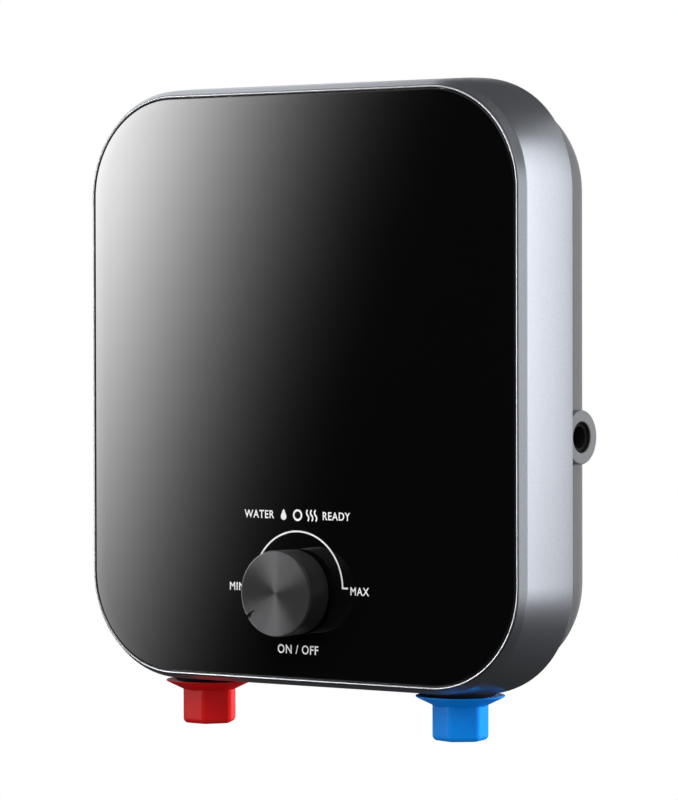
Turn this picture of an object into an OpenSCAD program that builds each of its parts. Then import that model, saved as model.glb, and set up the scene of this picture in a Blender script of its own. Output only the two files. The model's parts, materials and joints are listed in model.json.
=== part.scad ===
/* [Front glass] */
// Width of the front glass
glass_w = 239; // [220:1:260]
// Height of the front glass
glass_h = 266; // [250:1:290]
// Corner radius of the front glass
glass_r = 45.5; // [40:0.5:52]
// Thickness of the front glass
glass_t = 4; // [3:0.5:5]
// Width of the polished bevel round the glass
glass_bevel = 0.8; // [0.4:0.1:1.2]
// Thickness of the bonding tape behind the glass
tape_t = 0.8; // [0.5:0.1:1.2]
// Width of the bonding tape
tape_w = 9; // [6:0.5:12]

/* [Housing] */
// Depth of the whole housing, from the wall to the front of the glass
body_d = 63; // [62:0.5:67]
// Gap between the glass and the lip of the shell
glass_gap = 0.3; // [0.2:0.05:0.5]
// Width of the rounded lip round the glass
lip_w = 1.4; // [1:0.1:2]
// Width of the chamfer outside the lip
chamfer_w = 2; // [1.5:0.1:2.6]
// Depth of the chamfer
chamfer_d = 4.4; // [3.5:0.1:5.5]
// How far the side of the shell flares outwards on its way to the wall
flare = 2.4; // [1.5:0.1:3.2]
// Depth of the front shell
shell_d = 37; // [36:0.5:38]
// Wall thickness of the front shell and the rear cover
wall = 2.5; // [2:0.1:3]
// How far the rear cover steps in from the rim of the front shell
cover_inset = 7.6; // [6.5:0.1:9]
// Radius of the rear cover's back edge
cover_edge_r = 10; // [8:0.5:11]
// Thickness of the seal between shell and cover
seal_t = 2; // [1.5:0.1:2.5]
// Distance between the case screws across the housing
case_span_x = 196; // [190:1:200]
// Distance between the case screws up the housing
case_span_y = 216; // [210:1:222]
// Distance between the wall screws across the housing
wall_span_x = 110; // [100:1:116]
// Distance between the wall screws up the housing
wall_span_y = 170; // [164:1:176]
// Radius of the entry hole of each keyhole
key_r = 4.5; // [4:0.1:5]
// Width of the slot of each keyhole
key_slot_w = 4.6; // [4:0.1:5]
// Drop from the slot's end to the entry hole
key_drop = 8; // [7:0.5:9]

/* [Knob and controls] */
// Distance of the knob axis below the middle of the glass
knob_drop = 93.5; // [90:0.5:97]
// Radius of the knob
knob_r = 19.6; // [18:0.1:21]
// Height of the knob
knob_h = 14.9; // [13:0.1:17]
// Gap between the knob and the glass
knob_gap = 2.2; // [2:0.1:3]
// Push travel of the knob
push_travel = 1.5; // [1:0.1:1.8]
// Radius of the control shaft
shaft_r = 3; // [2.5:0.1:3.5]
// Distance of the indicator below the middle of the glass
led_drop = 58.6; // [57:0.2:60]
// Radius of the indicator window
led_r = 2.65; // [2.3:0.05:3]

/* [Water connections] */
// Distance of each water stub from the middle of the housing
stub_x = 72; // [70:0.5:74]
// Distance of the stubs behind the front of the glass
stub_back = 26; // [25.4:0.2:26.6]
// Radius of the stub thread
stub_r = 10.48; // [10:0.02:10.6]
// Bore radius of the stubs
stub_bore_r = 7; // [6.4:0.1:7.4]
// Length of stub below the housing
stub_len = 18.5; // [17:0.5:20]
// Radius of the collar round each stub
collar_r = 16.6; // [16:0.1:17]
// Width of the hexagon of a transport cap across its flats
cap_af = 23; // [22.4:0.1:24]
// Height of the hexagon of a transport cap
cap_hex_h = 15.2; // [14:0.1:17]
// Radius of the flange of a transport cap
cap_flange_r = 20.2; // [19:0.1:21]
// Height of the conical flange of a transport cap
cap_flange_h = 5.2; // [4.5:0.1:6]

/* [Heating vessel] */
// Outer radius of the heating vessel
tank_r = 19; // [18:0.2:20]
// Wall thickness of the heating vessel
tank_wall = 2; // [1.5:0.1:2.5]
// Height of the vessel axis above the middle of the glass
tank_rise = 45; // [42:0.5:48]
// Radius of the vessel flange
tank_flange_r = 24.4; // [24:0.1:24.8]
// Radius of the heating element rod
element_r = 3.5; // [3:0.1:4]
// Radius of the water tubes
tube_r = 8; // [7.4:0.1:8.4]
// Wall thickness of the water tubes
tube_wall = 1.5; // [1.2:0.1:1.8]

/* [Flow sensor] */
// Radius of the flow chamber
flow_r = 19; // [18:0.2:20]
// Wall thickness of the flow chamber
flow_wall = 2.4; // [2:0.1:2.8]
// Number of blades of the impeller
blade_count = 6; // [4:1:8]
// Radius of the impeller pin
pin_r = 1.5; // [1.2:0.1:1.8]

/* [Cable entry] */
// Distance of the cable entry below the middle of the glass
gland_drop = 22.5; // [20:0.5:25]
// Outer radius of the cable gland
gland_r = 12.2; // [11.6:0.1:12.4]
// Radius of the opening of the cable gland
gland_hole_r = 7; // [6.5:0.1:7.4]
// How far the cable gland stands out of the rear cover
gland_out = 4; // [3:0.2:5]
// Bore radius of the rubber grommet
grommet_bore_r = 5; // [4.5:0.1:5.4]

/* [Hidden] */
$fn = 64;
// Running clearance of pins and shafts
run_clear = 0.05;
// Clearance of loose seats
seat_clear = 0.15;
// Gap between stacked pieces on different bodies
body_gap = 0.3;
// Over-run of cutting shapes
cut = 1;
// Overlap of shapes that are joined
join = 0.5;

// Offsets outwards from the edge of the glass
lip_e = glass_gap + lip_w;
chamfer_e = lip_e + chamfer_w;
rim_e = chamfer_e + flare;
cover_e = rim_e - cover_inset;
panel_e = -4;

// Heights above the wall
parting_z = body_d - shell_d;
glass_z = body_d - glass_t;
panel_z = glass_z - tape_t;
panel_t = wall;
panel_back_z = panel_z - panel_t;
rim_step = 0.5;
flange_z = parting_z + rim_step;
seal_z = flange_z + wall;
rib_z = seal_z + seal_t;
rib_t = 2;
stub_z = body_d - stub_back;

// Half sizes
half_w = glass_w / 2;
half_h = glass_h / 2;
cover_half_w = half_w + cover_e;
cover_half_h = half_h + cover_e;
// Bottom of the shell where the stubs leave it
shell_foot = half_h + chamfer_e + flare * (stub_back - chamfer_d) / (shell_d - chamfer_d);

// Case screws
case_hole_r = 2.1;
case_shank_r = 2;
case_head_r = 3.6;
case_head_h = 2.6;
case_well_r = 6;
case_boss_r = 5;
case_seat_t = 4;
case_shank_len = 14;

// Keyhole pockets and cover details
pocket_room = 1.5;
pocket_wall = 1.6;
pocket_h = 6;
rim_clear = 0.6;
seal_inset = 0.4;
cradle_w = 22;
cradle_t = 5;

// Water connections
collar_proud = 0.9;
collar_lip = 1.2;
collar_foot = shell_foot + collar_proud;
collar_flange_r = collar_r + collar_lip;
collar_flange_t = 3;
// The flange of a collar stays clear of the round corner of the rear cover
collar_reach = max(0, stub_x + collar_flange_r - half_w + glass_r);
collar_top = half_h - glass_r + sqrt(pow(u(cover_e) - wall, 2) - pow(collar_reach, 2)) - seat_clear;
collar_seat = collar_top - collar_flange_t;
shoulder_r = 14;
shoulder_t = 6;
shoulder_step = 2;
socket_len = 10;
socket_top = collar_seat - shoulder_t - socket_len;
socket_r = shoulder_r - shoulder_step;
socket_depth = 11;
stub_foot = shell_foot + stub_len;
ring_t = 3;
ring_w = 1.6;
ring_in_r = tube_r - ring_w;
tube_foot = socket_top + socket_depth - ring_t;
filter_t = 2;
filter_depth = 6;
filter_hole_r = 1.5;
filter_rim = 1;
cap_bore_r = stub_r + seat_clear;
cap_top = collar_foot + body_gap;
cap_foot = cap_top + cap_flange_h + cap_hex_h;
cap_rim_t = 1;
cap_tuck = 0.6;
cap_end_gap = 0.4;
cold_cap_turn = 18;
hot_cap_turn = 3;

// Heating vessel
tank_z = (wall + panel_back_z) / 2;
tank_room = 0.5;
tank_past_stub = 13;
tank_half = stub_x + tank_past_stub;
// Half width of the vessel flange, which has flats where the housing is too shallow for its radius
flange_flat = (panel_back_z - wall) / 2 - tank_room;
tank_edge_r = 8;
tank_flange_t = 4;
gasket_t = 1.5;
port_len = 9;
port_wall = 2.2;
port_foot = tank_rise - tank_r - port_len;
tube_short = 2;
tube_top = tank_rise - tank_r - tube_short;
flange_screw_n = 6;
flange_screw_r = 1.5;
flange_pcd_r = (tank_r + tank_flange_r) / 2;
flange_head_r = 2.4;
flange_head_h = 1.8;
flange_top = 2 * tank_half + gasket_t + tank_flange_t;
element_gap = 8;
element_start = 24;
element_out = 3;
stud_r = 2;
stud_len = 8;
saddle_x = 44;
saddle_w = 12;
saddle_foot = 4;
saddle_span = 2 * (tank_r + saddle_foot);
boss_r = 8;
boss_proud = 2;
boss_top = tank_rise + tank_r + boss_proud;
earth_r = 2;
earth_len = 7;
earth_head_r = 3.8;
earth_head_h = 2.6;

// Thermal cut-out
cutout_x = -22;
cutout_r = 11;
cutout_h = 10;
blade_w = 3;
blade_len = 12;
button_r = 3;
button_hole = 4;
button_travel = 1;
button_len = 6;

// Flow sensor
flow_drop = 82;
flow_half_t = 12;
flow_lid_t = 3;
flow_port_len = 5;
impeller_room = 1;
impeller_r = flow_r - flow_wall - impeller_room;
impeller_half_t = flow_half_t - flow_lid_t - impeller_room;
hub_r = 4;
blade_t = 2;
blade_step = 1;
pin_seat = 1.8;
hall_w = 8;
hall_h = 6;
hall_t = 3;
flow_head = flow_drop - flow_r - flow_port_len;
bell_short = 0.5;
bell_len = flow_port_len - bell_short;

// Knob and controls
knob_z = body_d + knob_gap;
knob_top_z = knob_z + knob_h;
knob_draft = 0.3;
knob_skin = 2;
face_t = 1.2;
face_bevel = 0.9;
notch_angle = 215;
notch_w = 1.8;
notch_in = 15.6;
notch_rim = 0;
hub_insert_r = 5.5;
hub_floor = 1;
hub_len = knob_h - face_t - knob_skin;
glass_hole_r = 9;
bush_r = 5;
bush_rise = 2.2;
bush_top_z = glass_z + bush_rise;
nut_af = 13;
nut_t = 2;
washer_t = 0.6;
washer_r = 7.5;
shaft_seal_t = 1.2;
pot_half = 13;
pot_depth = 15;
pot_roof = 2.5;
pot_back_z = panel_back_z - pot_depth;
pot_floor = 1.5;
plunger_half = 5;
plunger_t = 4;
plunger_z = pot_back_z + pot_floor + push_travel + body_gap;
cavity_top_z = panel_back_z - pot_roof;
shaft_z = plunger_z + plunger_t + body_gap;

// Control board
board_t = 1.6;
board_z = pot_back_z - board_t;
board_w = 84;
board_over_led = 12;
board_under_knob = 24;
board_top = led_drop - board_over_led;
board_foot = knob_drop + board_under_knob;
board_hole_r = 1.6;
board_screw_r = 1.3;
board_head_r = 2.6;
board_head_t = 1.8;
board_screw_len = 8;
post_r = 3.5;
post_inset = 6;
post_x = board_w / 2 - post_inset;
led_body_r = 1.9;
led_body_h = 6;

// Power board and what stands on it
power_x = -48;
power_w = 88;
power_y = -40;
power_h = 52;
power_inset = 6;
power_post_h = 8;
power_z = wall + power_post_h;
relay_size = [22, 20, 16];
relay_at = [10, 18, 0];
transformer_size = [26, 22, 18];
transformer_at = [42, 16, 0];
socket_size = [10, 6, 8];
socket_at = [44, 42, 0];
socket_pitch = 15;
capacitor_r = 4;
capacitor_h = 14;
capacitor_at = [20, 9, 0];
capacitor_pitch = 12;
capacitor_n = 4;

// Heat sink on the cold tube
sink_w = 26;
sink_h = 30;
sink_y = -38;
sink_depth = 24;
fin_n = 5;
fin_d = 3;
fin_w = 1.6;
triac_w = 4.6;
triac_h = 15;
triac_depth = 10.4;
triac_tab_t = 1.3;
triac_tab_h = 6;
triac_up = 4;
triac_y = sink_y + triac_up;
triac_screw_y = triac_y + triac_h + triac_tab_h / 2;
triac_screw_r = 1.4;
triac_screw_len = 4;

// Cable entry
gland_lift = 0.4;
gland_z = parting_z / 2 + gland_lift;
gland_pad = 8;
gland_neck_r = 8.8;
gland_nut_af = 20;
gland_nut_t = 5;
gland_end = cover_half_w - gland_pad - gland_nut_t;
grommet_len = 8;
grommet_recess = 1.6;
clamp_back = 11;
clamp_x = gland_end - clamp_back;
clamp_w = 10;
clamp_len = 38;
clamp_t = 3;
clamp_span = 28;
clamp_lift = 4;
clamp_z = gland_z + clamp_lift;
clamp_screw_r = 1.5;
clamp_screw_len = 9;
block_w = 16;
block_len = 36;
block_h = 16;
block_x = cover_half_w - cover_edge_r - block_w;
block_y = -84;
pole_n = 3;
pole_pitch = block_len / pole_n;
pole_well_r = 4;
pole_well_d = 8;
pole_hole_r = 2;
pole_screw_r = 2.2;
pole_screw_h = 3;

// Stands the heater up: drawn lying on its back, with x across, y up and z out of the wall
module upright() { rotate([90, 0, 0]) children(); }

// Distance from a corner centre, for an offset from the edge of the glass
function u(e) = glass_r + e;

// Round bar along the height of the heater
module bar_y(r, y0, y1, x, z) { translate([x, y1, z]) rotate([90, 0, 0]) cylinder(r = r, h = y1 - y0); }

// Round bar across the heater
module bar_x(r, x0, x1, y, z) { translate([x0, y, z]) rotate([0, 90, 0]) cylinder(r = r, h = x1 - x0); }

// Round bar standing off the wall
module bar_z(r, z0, z1, x, y) { translate([x, y, z0]) cylinder(r = r, h = z1 - z0); }

// Outline of the glass, grown by e
module outline(e) {
    w = glass_w + 2 * e;
    h = glass_h + 2 * e;
    square([w - 2 * u(e), h], center = true);
    square([w, h - 2 * u(e)], center = true);
    for (sx = [-1, 1], sy = [-1, 1])
        translate([sx * (w / 2 - u(e)), sy * (h / 2 - u(e))]) circle(u(e));
}

// Flat plate with the outline of the glass grown by e
module plate(e, z0, z1) { translate([0, 0, z0]) linear_extrude(z1 - z0) outline(e); }

// Carries a wall profile round the rounded rectangle of the housing
module sweep() {
    a = half_w - glass_r;
    b = half_h - glass_r;
    corners = [[a, b], [-a, b], [-a, -b], [a, -b]];
    for (k = [0:3]) {
        run = k % 2 == 0 ? b : a;
        translate(corners[k]) rotate(90 * k) rotate_extrude(angle = 90) children();
        rotate(90 * k) translate([k % 2 == 0 ? a : b, 0, 0]) rotate([90, 0, 0])
            linear_extrude(2 * run, center = true) children();
    }
}

// Copies its child to the four corners of a rectangle
module corners4(span_x, span_y) {
    for (sx = [-1, 1], sy = [-1, 1]) translate([sx * span_x / 2, sy * span_y / 2, 0]) children();
}

// Copies its child to both water stubs
module both_stubs() { for (s = [-1, 1]) translate([s * stub_x, 0, stub_z]) children(); }

// Clears the walls round both water collars
module collar_cuts() {
    both_stubs() bar_y(collar_r + seat_clear, -cap_foot, -collar_top + cut, 0, 0);
}

// Plain machine screw, head on top, shank down, drawn from the seat under its head
module screw(shank_r, shank_len, head_r, head_h) {
    cylinder(r = head_r, h = head_h);
    translate([0, 0, -shank_len]) cylinder(r = shank_r, h = shank_len + join);
}

// Front glass with a polished bevel, the shaft hole and the indicator hole
module front_glass() {
    color([0.02, 0.02, 0.03]) upright() difference() {
        union() {
            plate(-glass_bevel, glass_z, body_d);
            sweep() polygon([
                [u(panel_e), glass_z], [u(0), glass_z], [u(0), body_d - glass_bevel],
                [u(-glass_bevel), body_d], [u(panel_e), body_d]
            ]);
        }
        bar_z(glass_hole_r, glass_z - cut, body_d + cut, 0, -knob_drop);
        bar_z(led_r + run_clear, glass_z - cut, body_d + cut, 0, -led_drop);
    }
}

// Ring of bonding tape between glass and panel
module glass_tape() {
    color([0.15, 0.15, 0.16]) upright() difference() {
        plate(-glass_bevel, panel_z, glass_z);
        translate([0, 0, -cut]) plate(-tape_w, panel_z, glass_z + 2 * cut);
    }
}

// Profile of the front shell: rounded lip, chamfer and flared side, the panel's edge and the seal rib
module shell_profile() {
    polygon([
        [u(glass_gap), panel_z], [u(glass_gap), body_d - lip_w / 2], [u(lip_e), body_d - lip_w / 2],
        [u(chamfer_e), body_d - chamfer_d], [u(rim_e), parting_z], [u(rim_e) - wall, parting_z],
        [u(chamfer_e) - wall, panel_back_z], [u(panel_e) - join, panel_back_z], [u(panel_e) - join, panel_z]
    ]);
    translate([u(glass_gap) + lip_w / 2, body_d - lip_w / 2]) circle(lip_w / 2);
    translate([u(cover_e), rib_z]) square([u(rim_e) - wall - u(cover_e), rib_t]);
}

// Places of the control-board posts
module board_posts() {
    for (sx = [-1, 1], y = [board_top + post_inset, board_foot - post_inset])
        translate([sx * post_x, -y, 0]) children();
}

// Silver front shell with its panel, screw bosses and board posts
module front_shell() {
    color([0.72, 0.75, 0.78]) upright() difference() {
        union() {
            sweep() shell_profile();
            plate(panel_e, panel_back_z, panel_z);
            corners4(case_span_x, case_span_y) bar_z(case_boss_r, parting_z, panel_z - join, 0, 0);
            board_posts() bar_z(post_r, pot_back_z, panel_z - join, 0, 0);
        }
        collar_cuts();
        corners4(case_span_x, case_span_y)
            bar_z(case_shank_r + run_clear, parting_z - cut, parting_z + case_shank_len, 0, 0);
        board_posts()
            bar_z(board_screw_r + run_clear, pot_back_z - cut, pot_back_z + board_screw_len, 0, 0);
        bar_z(bush_r + seat_clear, panel_back_z - cut, panel_z + cut, 0, -knob_drop);
        bar_z(led_r + run_clear, panel_back_z - cut, panel_z + cut, 0, -led_drop);
    }
}

// Area inside a wall with a rounded back edge
module edge_area(e, r, z0, z1) {
    inner = u(cover_e) - cover_edge_r - join;
    translate([inner, z0]) square([u(e) - r - inner, z1 - z0]);
    translate([inner, z0 + r]) square([u(e) - inner, z1 - z0 - r]);
    translate([u(e) - r, z0 + r]) intersection() {
        circle(r);
        translate([0, -r]) square([r, 2 * r]);
    }
}

// Profile of the rear cover: rounded back edge, side wall and the rim that closes the shell
module cover_profile() {
    difference() {
        edge_area(cover_e, cover_edge_r, 0, seal_z);
        edge_area(cover_e - wall, cover_edge_r - wall, wall, seal_z + cut);
    }
    translate([u(cover_e) - join, flange_z])
        square([u(rim_e) - wall - rim_clear - u(cover_e) + join, seal_z - flange_z]);
}

// Keyhole, drawn round its entry hole
module keyhole(z0, z1) {
    bar_z(key_r, z0, z1, 0, 0);
    bar_z(key_slot_w / 2, z0, z1, 0, key_drop);
    translate([-key_slot_w / 2, 0, z0]) cube([key_slot_w, key_drop, z1 - z0]);
}

// Closed pocket inside the cover that keeps the wall screws away from the wiring
module key_pocket(grow, z0, z1) {
    r = key_r + pocket_room + grow;
    bar_z(r, z0, z1, 0, 0);
    bar_z(r, z0, z1, 0, key_drop);
    translate([-r, 0, z0]) cube([2 * r, key_drop, z1 - z0]);
}

// Places of the power-board posts
module power_posts() {
    for (x = [power_x + power_inset, power_x + power_w - power_inset],
         y = [power_y + power_inset, power_y + power_h - power_inset]) translate([x, y, 0]) children();
}

// Places of the cord-clamp posts
module clamp_posts() {
    for (s = [-1, 1]) translate([clamp_x, -gland_drop + s * clamp_span / 2, 0]) children();
}

// Hexagon of the gland nut, grown by the room that is left for it
module gland_nut_blank(grow) {
    translate([gland_end, -gland_drop, gland_z]) rotate([0, 90, 0]) rotate(30)
        cylinder(r = (gland_nut_af / 2 + grow) / cos(30), h = gland_nut_t, $fn = 6);
}

// Grey rear cover: tub, keyholes with pockets, screw wells, cable pad, posts and fitting cradles
module rear_cover() {
    color([0.45, 0.46, 0.48]) upright() difference() {
        union() {
            sweep() cover_profile();
            plate(cover_e - cover_edge_r, 0, wall);
            corners4(wall_span_x, wall_span_y)
                key_pocket(pocket_wall, wall - join, wall + pocket_h + pocket_wall);
            corners4(case_span_x, case_span_y) bar_z(case_well_r, 0, parting_z, 0, 0);
            bar_x(gland_r, cover_half_w - gland_pad, cover_half_w, -gland_drop, gland_z);
            power_posts() bar_z(post_r, wall - join, power_z, 0, 0);
            clamp_posts() bar_z(post_r, wall - join, clamp_z, 0, 0);
            both_stubs() translate([-cradle_w / 2, -collar_seat, wall - join - stub_z])
                cube([cradle_w, cradle_t, stub_z - wall + join - shoulder_r / 2]);
        }
        corners4(wall_span_x, wall_span_y) keyhole(-cut, wall + cut);
        corners4(wall_span_x, wall_span_y) key_pocket(0, wall, wall + pocket_h);
        corners4(case_span_x, case_span_y) {
            bar_z(case_head_r + seat_clear, -cut, parting_z - case_seat_t, 0, 0);
            bar_z(case_hole_r, 0, parting_z + cut, 0, 0);
            bar_z(case_boss_r + seat_clear, parting_z, seal_z + cut, 0, 0);
        }
        bar_x(gland_neck_r + seat_clear, gland_end, cover_half_w + cut, -gland_drop, gland_z);
        gland_nut_blank(seat_clear);
        power_posts() bar_z(board_screw_r + run_clear, power_z - power_post_h + cut, power_z + cut, 0, 0);
        clamp_posts() bar_z(clamp_screw_r + run_clear, clamp_z - clamp_screw_len, clamp_z + cut, 0, 0);
        both_stubs() bar_y(shoulder_r + run_clear, -collar_seat - cut, -collar_seat + cradle_t + cut, 0, 0);
        collar_cuts();
    }
}

// Rubber seal between the rim of the cover and the rib of the shell
module shell_seal() {
    color([0.1, 0.1, 0.1]) upright() difference() {
        sweep() translate([u(cover_e) + seal_inset, seal_z])
            square([u(rim_e) - wall - rim_clear - seal_inset - u(cover_e), seal_t]);
        collar_cuts();
        corners4(case_span_x, case_span_y)
            bar_z(case_boss_r + seat_clear, seal_z - cut, rib_z + cut, 0, 0);
    }
}

// Case screws, put in from the wall side
module case_screws() {
    color("silver") upright() corners4(case_span_x, case_span_y)
        translate([0, 0, parting_z - case_seat_t]) rotate([180, 0, 0])
            screw(case_shank_r, case_seat_t + case_shank_len - cut, case_head_r, case_head_h);
}

// Places the control pieces on the knob axis
module on_knob_axis() { upright() translate([0, -knob_drop, 0]) children(); }

// Knob body: a cup with a slightly drawn-in side and a boss for the hub
module knob_body() {
    color([0.16, 0.16, 0.17]) on_knob_axis() difference() {
        translate([0, 0, knob_z]) cylinder(r1 = knob_r - knob_draft, r2 = knob_r, h = knob_h - face_t);
        difference() {
            bar_z(knob_r - knob_skin - knob_draft, knob_z - cut, knob_top_z - face_t - knob_skin, 0, 0);
            bar_z(hub_insert_r + knob_skin, knob_z - cut, knob_top_z, 0, 0);
        }
        bar_z(hub_insert_r + run_clear, knob_z - cut, knob_z + hub_len, 0, 0);
    }
}

// Spun metal face of the knob with a bevelled rim and the pointer notch
module knob_face() {
    color([0.35, 0.35, 0.36]) on_knob_axis() difference() {
        translate([0, 0, knob_top_z - face_t]) cylinder(r1 = knob_r, r2 = knob_r - face_bevel, h = face_t);
        rotate(notch_angle) {
            bar_z(notch_w / 2, knob_top_z - face_t - cut, knob_top_z + cut, notch_in, 0);
            translate([notch_in, -notch_w / 2, knob_top_z - face_t - cut])
                cube([knob_r - face_bevel - notch_rim - notch_in, notch_w, face_t + 2 * cut]);
        }
    }
}

// Brass hub pressed into the knob
module knob_hub() {
    color("goldenrod") on_knob_axis() difference() {
        bar_z(hub_insert_r, knob_z, knob_z + hub_len, 0, 0);
        bar_z(shaft_r + run_clear, knob_z - cut, knob_z + hub_len - hub_floor, 0, 0);
    }
}

// Control shaft from the plunger to the knob
module control_shaft() {
    color("silver") on_knob_axis() bar_z(shaft_r, shaft_z, knob_z + hub_len - hub_floor, 0, 0);
}

// Square plunger that the knob pushes in
module switch_plunger() {
    color("white") on_knob_axis() translate([-plunger_half, -plunger_half, plunger_z])
        cube([2 * plunger_half, 2 * plunger_half, plunger_t]);
}

// Housing of the push switch and temperature control, with its threaded bush
module control_housing() {
    color([0.1, 0.25, 0.4]) on_knob_axis() difference() {
        union() {
            translate([-pot_half, -pot_half, pot_back_z])
                cube([2 * pot_half, 2 * pot_half, panel_back_z - pot_back_z]);
            bar_z(bush_r, panel_back_z - join, bush_top_z, 0, 0);
        }
        translate([-plunger_half - seat_clear, -plunger_half - seat_clear, pot_back_z + pot_floor])
            cube([2 * (plunger_half + seat_clear), 2 * (plunger_half + seat_clear),
                  cavity_top_z - pot_back_z - pot_floor]);
        bar_z(shaft_r + run_clear, cavity_top_z - cut, bush_top_z + cut, 0, 0);
    }
}

// Washer under the control nut
module control_washer() {
    color("silver") on_knob_axis() difference() {
        bar_z(washer_r, panel_z, panel_z + washer_t, 0, 0);
        bar_z(bush_r + seat_clear, panel_z - cut, panel_z + washer_t + cut, 0, 0);
    }
}

// Hexagon nut that holds the control in the panel
module control_nut() {
    color("silver") on_knob_axis() translate([0, 0, panel_z + washer_t]) difference() {
        cylinder(r = nut_af / 2 / cos(30), h = nut_t, $fn = 6);
        bar_z(bush_r + run_clear, -cut, nut_t + cut, 0, 0);
    }
}

// Rubber wiper ring on top of the bush
module shaft_seal() {
    color([0.1, 0.1, 0.1]) on_knob_axis() difference() {
        bar_z(bush_r, bush_top_z, bush_top_z + shaft_seal_t, 0, 0);
        bar_z(shaft_r + run_clear, bush_top_z - cut, bush_top_z + shaft_seal_t + cut, 0, 0);
    }
}

// Control board under the control housing
module control_board() {
    color([0.05, 0.35, 0.15]) upright() difference() {
        translate([-board_w / 2, -board_foot, board_z]) cube([board_w, board_foot - board_top, board_t]);
        board_posts() bar_z(board_hole_r, board_z - cut, board_z + board_t + cut, 0, 0);
    }
}

// Screws of the control board
module board_screws() {
    color("silver") upright() board_posts() translate([0, 0, board_z]) rotate([180, 0, 0])
        screw(board_screw_r, board_t + board_screw_len - cut, board_head_r, board_head_t);
}

// Status LED on the control board
module status_led() {
    color("red") upright() translate([0, -led_drop, pot_back_z]) {
        cylinder(r = led_body_r, h = led_body_h - led_body_r);
        translate([0, 0, led_body_h - led_body_r]) sphere(led_body_r);
    }
}

// Light window that runs from the LED to the front of the glass, hollow over the LED
module led_window() {
    color("white") upright() translate([0, -led_drop, 0]) difference() {
        bar_z(led_r, pot_back_z, body_d, 0, 0);
        bar_z(led_body_r + run_clear, pot_back_z - cut, pot_back_z + led_body_h + seat_clear, 0, 0);
    }
}

// Cable gland in the side of the rear cover
module cable_gland() {
    color([0.5, 0.51, 0.53]) upright() difference() {
        union() {
            bar_x(gland_r, cover_half_w, cover_half_w + gland_out, -gland_drop, gland_z);
            bar_x(gland_neck_r, gland_end, cover_half_w + join, -gland_drop, gland_z);
        }
        bar_x(gland_hole_r, gland_end - cut, cover_half_w + gland_out + cut, -gland_drop, gland_z);
    }
}

// Rubber grommet inside the gland
module gland_grommet() {
    front = cover_half_w + gland_out - grommet_recess;
    color([0.05, 0.05, 0.05]) upright() difference() {
        bar_x(gland_hole_r, front - grommet_len, front, -gland_drop, gland_z);
        bar_x(grommet_bore_r, front - grommet_len - cut, front + cut, -gland_drop, gland_z);
    }
}

// Hexagon nut of the gland inside the cover
module gland_nut() {
    color([0.4, 0.4, 0.42]) upright() difference() {
        gland_nut_blank(0);
        bar_x(gland_neck_r + run_clear, gland_end - cut, gland_end + gland_nut_t + cut,
              -gland_drop, gland_z);
    }
}

// Bar that clamps the supply lead to the cover
module cord_clamp() {
    color([0.2, 0.2, 0.2]) upright() difference() {
        translate([clamp_x - clamp_w / 2, -gland_drop - clamp_len / 2, clamp_z])
            cube([clamp_w, clamp_len, clamp_t]);
        clamp_posts() bar_z(clamp_screw_r + seat_clear, clamp_z - cut, clamp_z + clamp_t + cut, 0, 0);
    }
}

// Screws of the cord clamp
module cord_clamp_screws() {
    color("silver") upright() clamp_posts() translate([0, 0, clamp_z + clamp_t])
        screw(clamp_screw_r, clamp_t + clamp_screw_len - cut, board_head_r, board_head_t);
}

// Terminal block with one open well for each pole
module terminal_block() {
    color("ivory") upright() translate([block_x, block_y, wall]) difference() {
        cube([block_w, block_len, block_h]);
        for (k = [0:pole_n - 1]) translate([block_w / 2, (k + 0.5) * pole_pitch, 0]) {
            bar_z(pole_well_r, block_h - pole_well_d, block_h + cut, 0, 0);
            bar_x(pole_hole_r, -block_w, block_w, 0, (block_h - pole_well_d) / 2);
        }
    }
}

// Clamp screws of the terminal block
module terminal_screws() {
    color("silver") upright() translate([block_x + block_w / 2, block_y, wall + block_h - pole_well_d])
        for (k = [0:pole_n - 1]) translate([0, (k + 0.5) * pole_pitch, 0])
            cylinder(r = pole_screw_r, h = pole_screw_h);
}

// Brass water fitting: threaded stub, shoulder and socket
module fitting(x) {
    color("goldenrod") upright() translate([x, 0, stub_z]) difference() {
        union() {
            bar_y(stub_r, -stub_foot, -collar_seat + join, 0, 0);
            bar_y(shoulder_r, -collar_seat, -collar_seat + shoulder_t, 0, 0);
            bar_y(socket_r, -collar_seat + join, -socket_top, 0, 0);
        }
        bar_y(stub_bore_r, -stub_foot - cut, -socket_top + cut, 0, 0);
        bar_y(tube_r + run_clear, -socket_top - socket_depth, -socket_top + cut, 0, 0);
    }
}

module inlet_fitting() { fitting(stub_x); }

module outlet_fitting() { fitting(-stub_x); }

// Collar that closes the housing round a stub
module collar(x) {
    color([0.22, 0.22, 0.23]) upright() translate([x, 0, stub_z]) difference() {
        union() {
            bar_y(collar_r, -collar_foot, -collar_top + join, 0, 0);
            bar_y(collar_flange_r, -collar_top, -collar_seat, 0, 0);
        }
        bar_y(stub_r + seat_clear, -collar_foot - cut, -collar_seat + cut, 0, 0);
    }
}

module inlet_collar() { collar(stub_x); }

module outlet_collar() { collar(-stub_x); }

// Sealing rings at the bottom of the fitting sockets
module fitting_o_rings() {
    color([0.1, 0.1, 0.1]) upright() both_stubs() difference() {
        bar_y(tube_r, -socket_top - socket_depth, -tube_foot, 0, 0);
        bar_y(ring_in_r, -socket_top - socket_depth - cut, -tube_foot + cut, 0, 0);
    }
}

// Strainer disc inside the cold stub
module inlet_filter() {
    hole_pitch = stub_bore_r / 2 + filter_rim;
    color("silver") upright() translate([stub_x, -stub_foot + filter_depth, stub_z]) difference() {
        bar_y(stub_bore_r - run_clear, 0, filter_t, 0, 0);
        bar_y(filter_hole_r, -cut, filter_t + cut, 0, 0);
        for (k = [0:5]) rotate([0, 60 * k, 0]) bar_y(filter_hole_r, -cut, filter_t + cut, hole_pitch, 0);
    }
}

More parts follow.
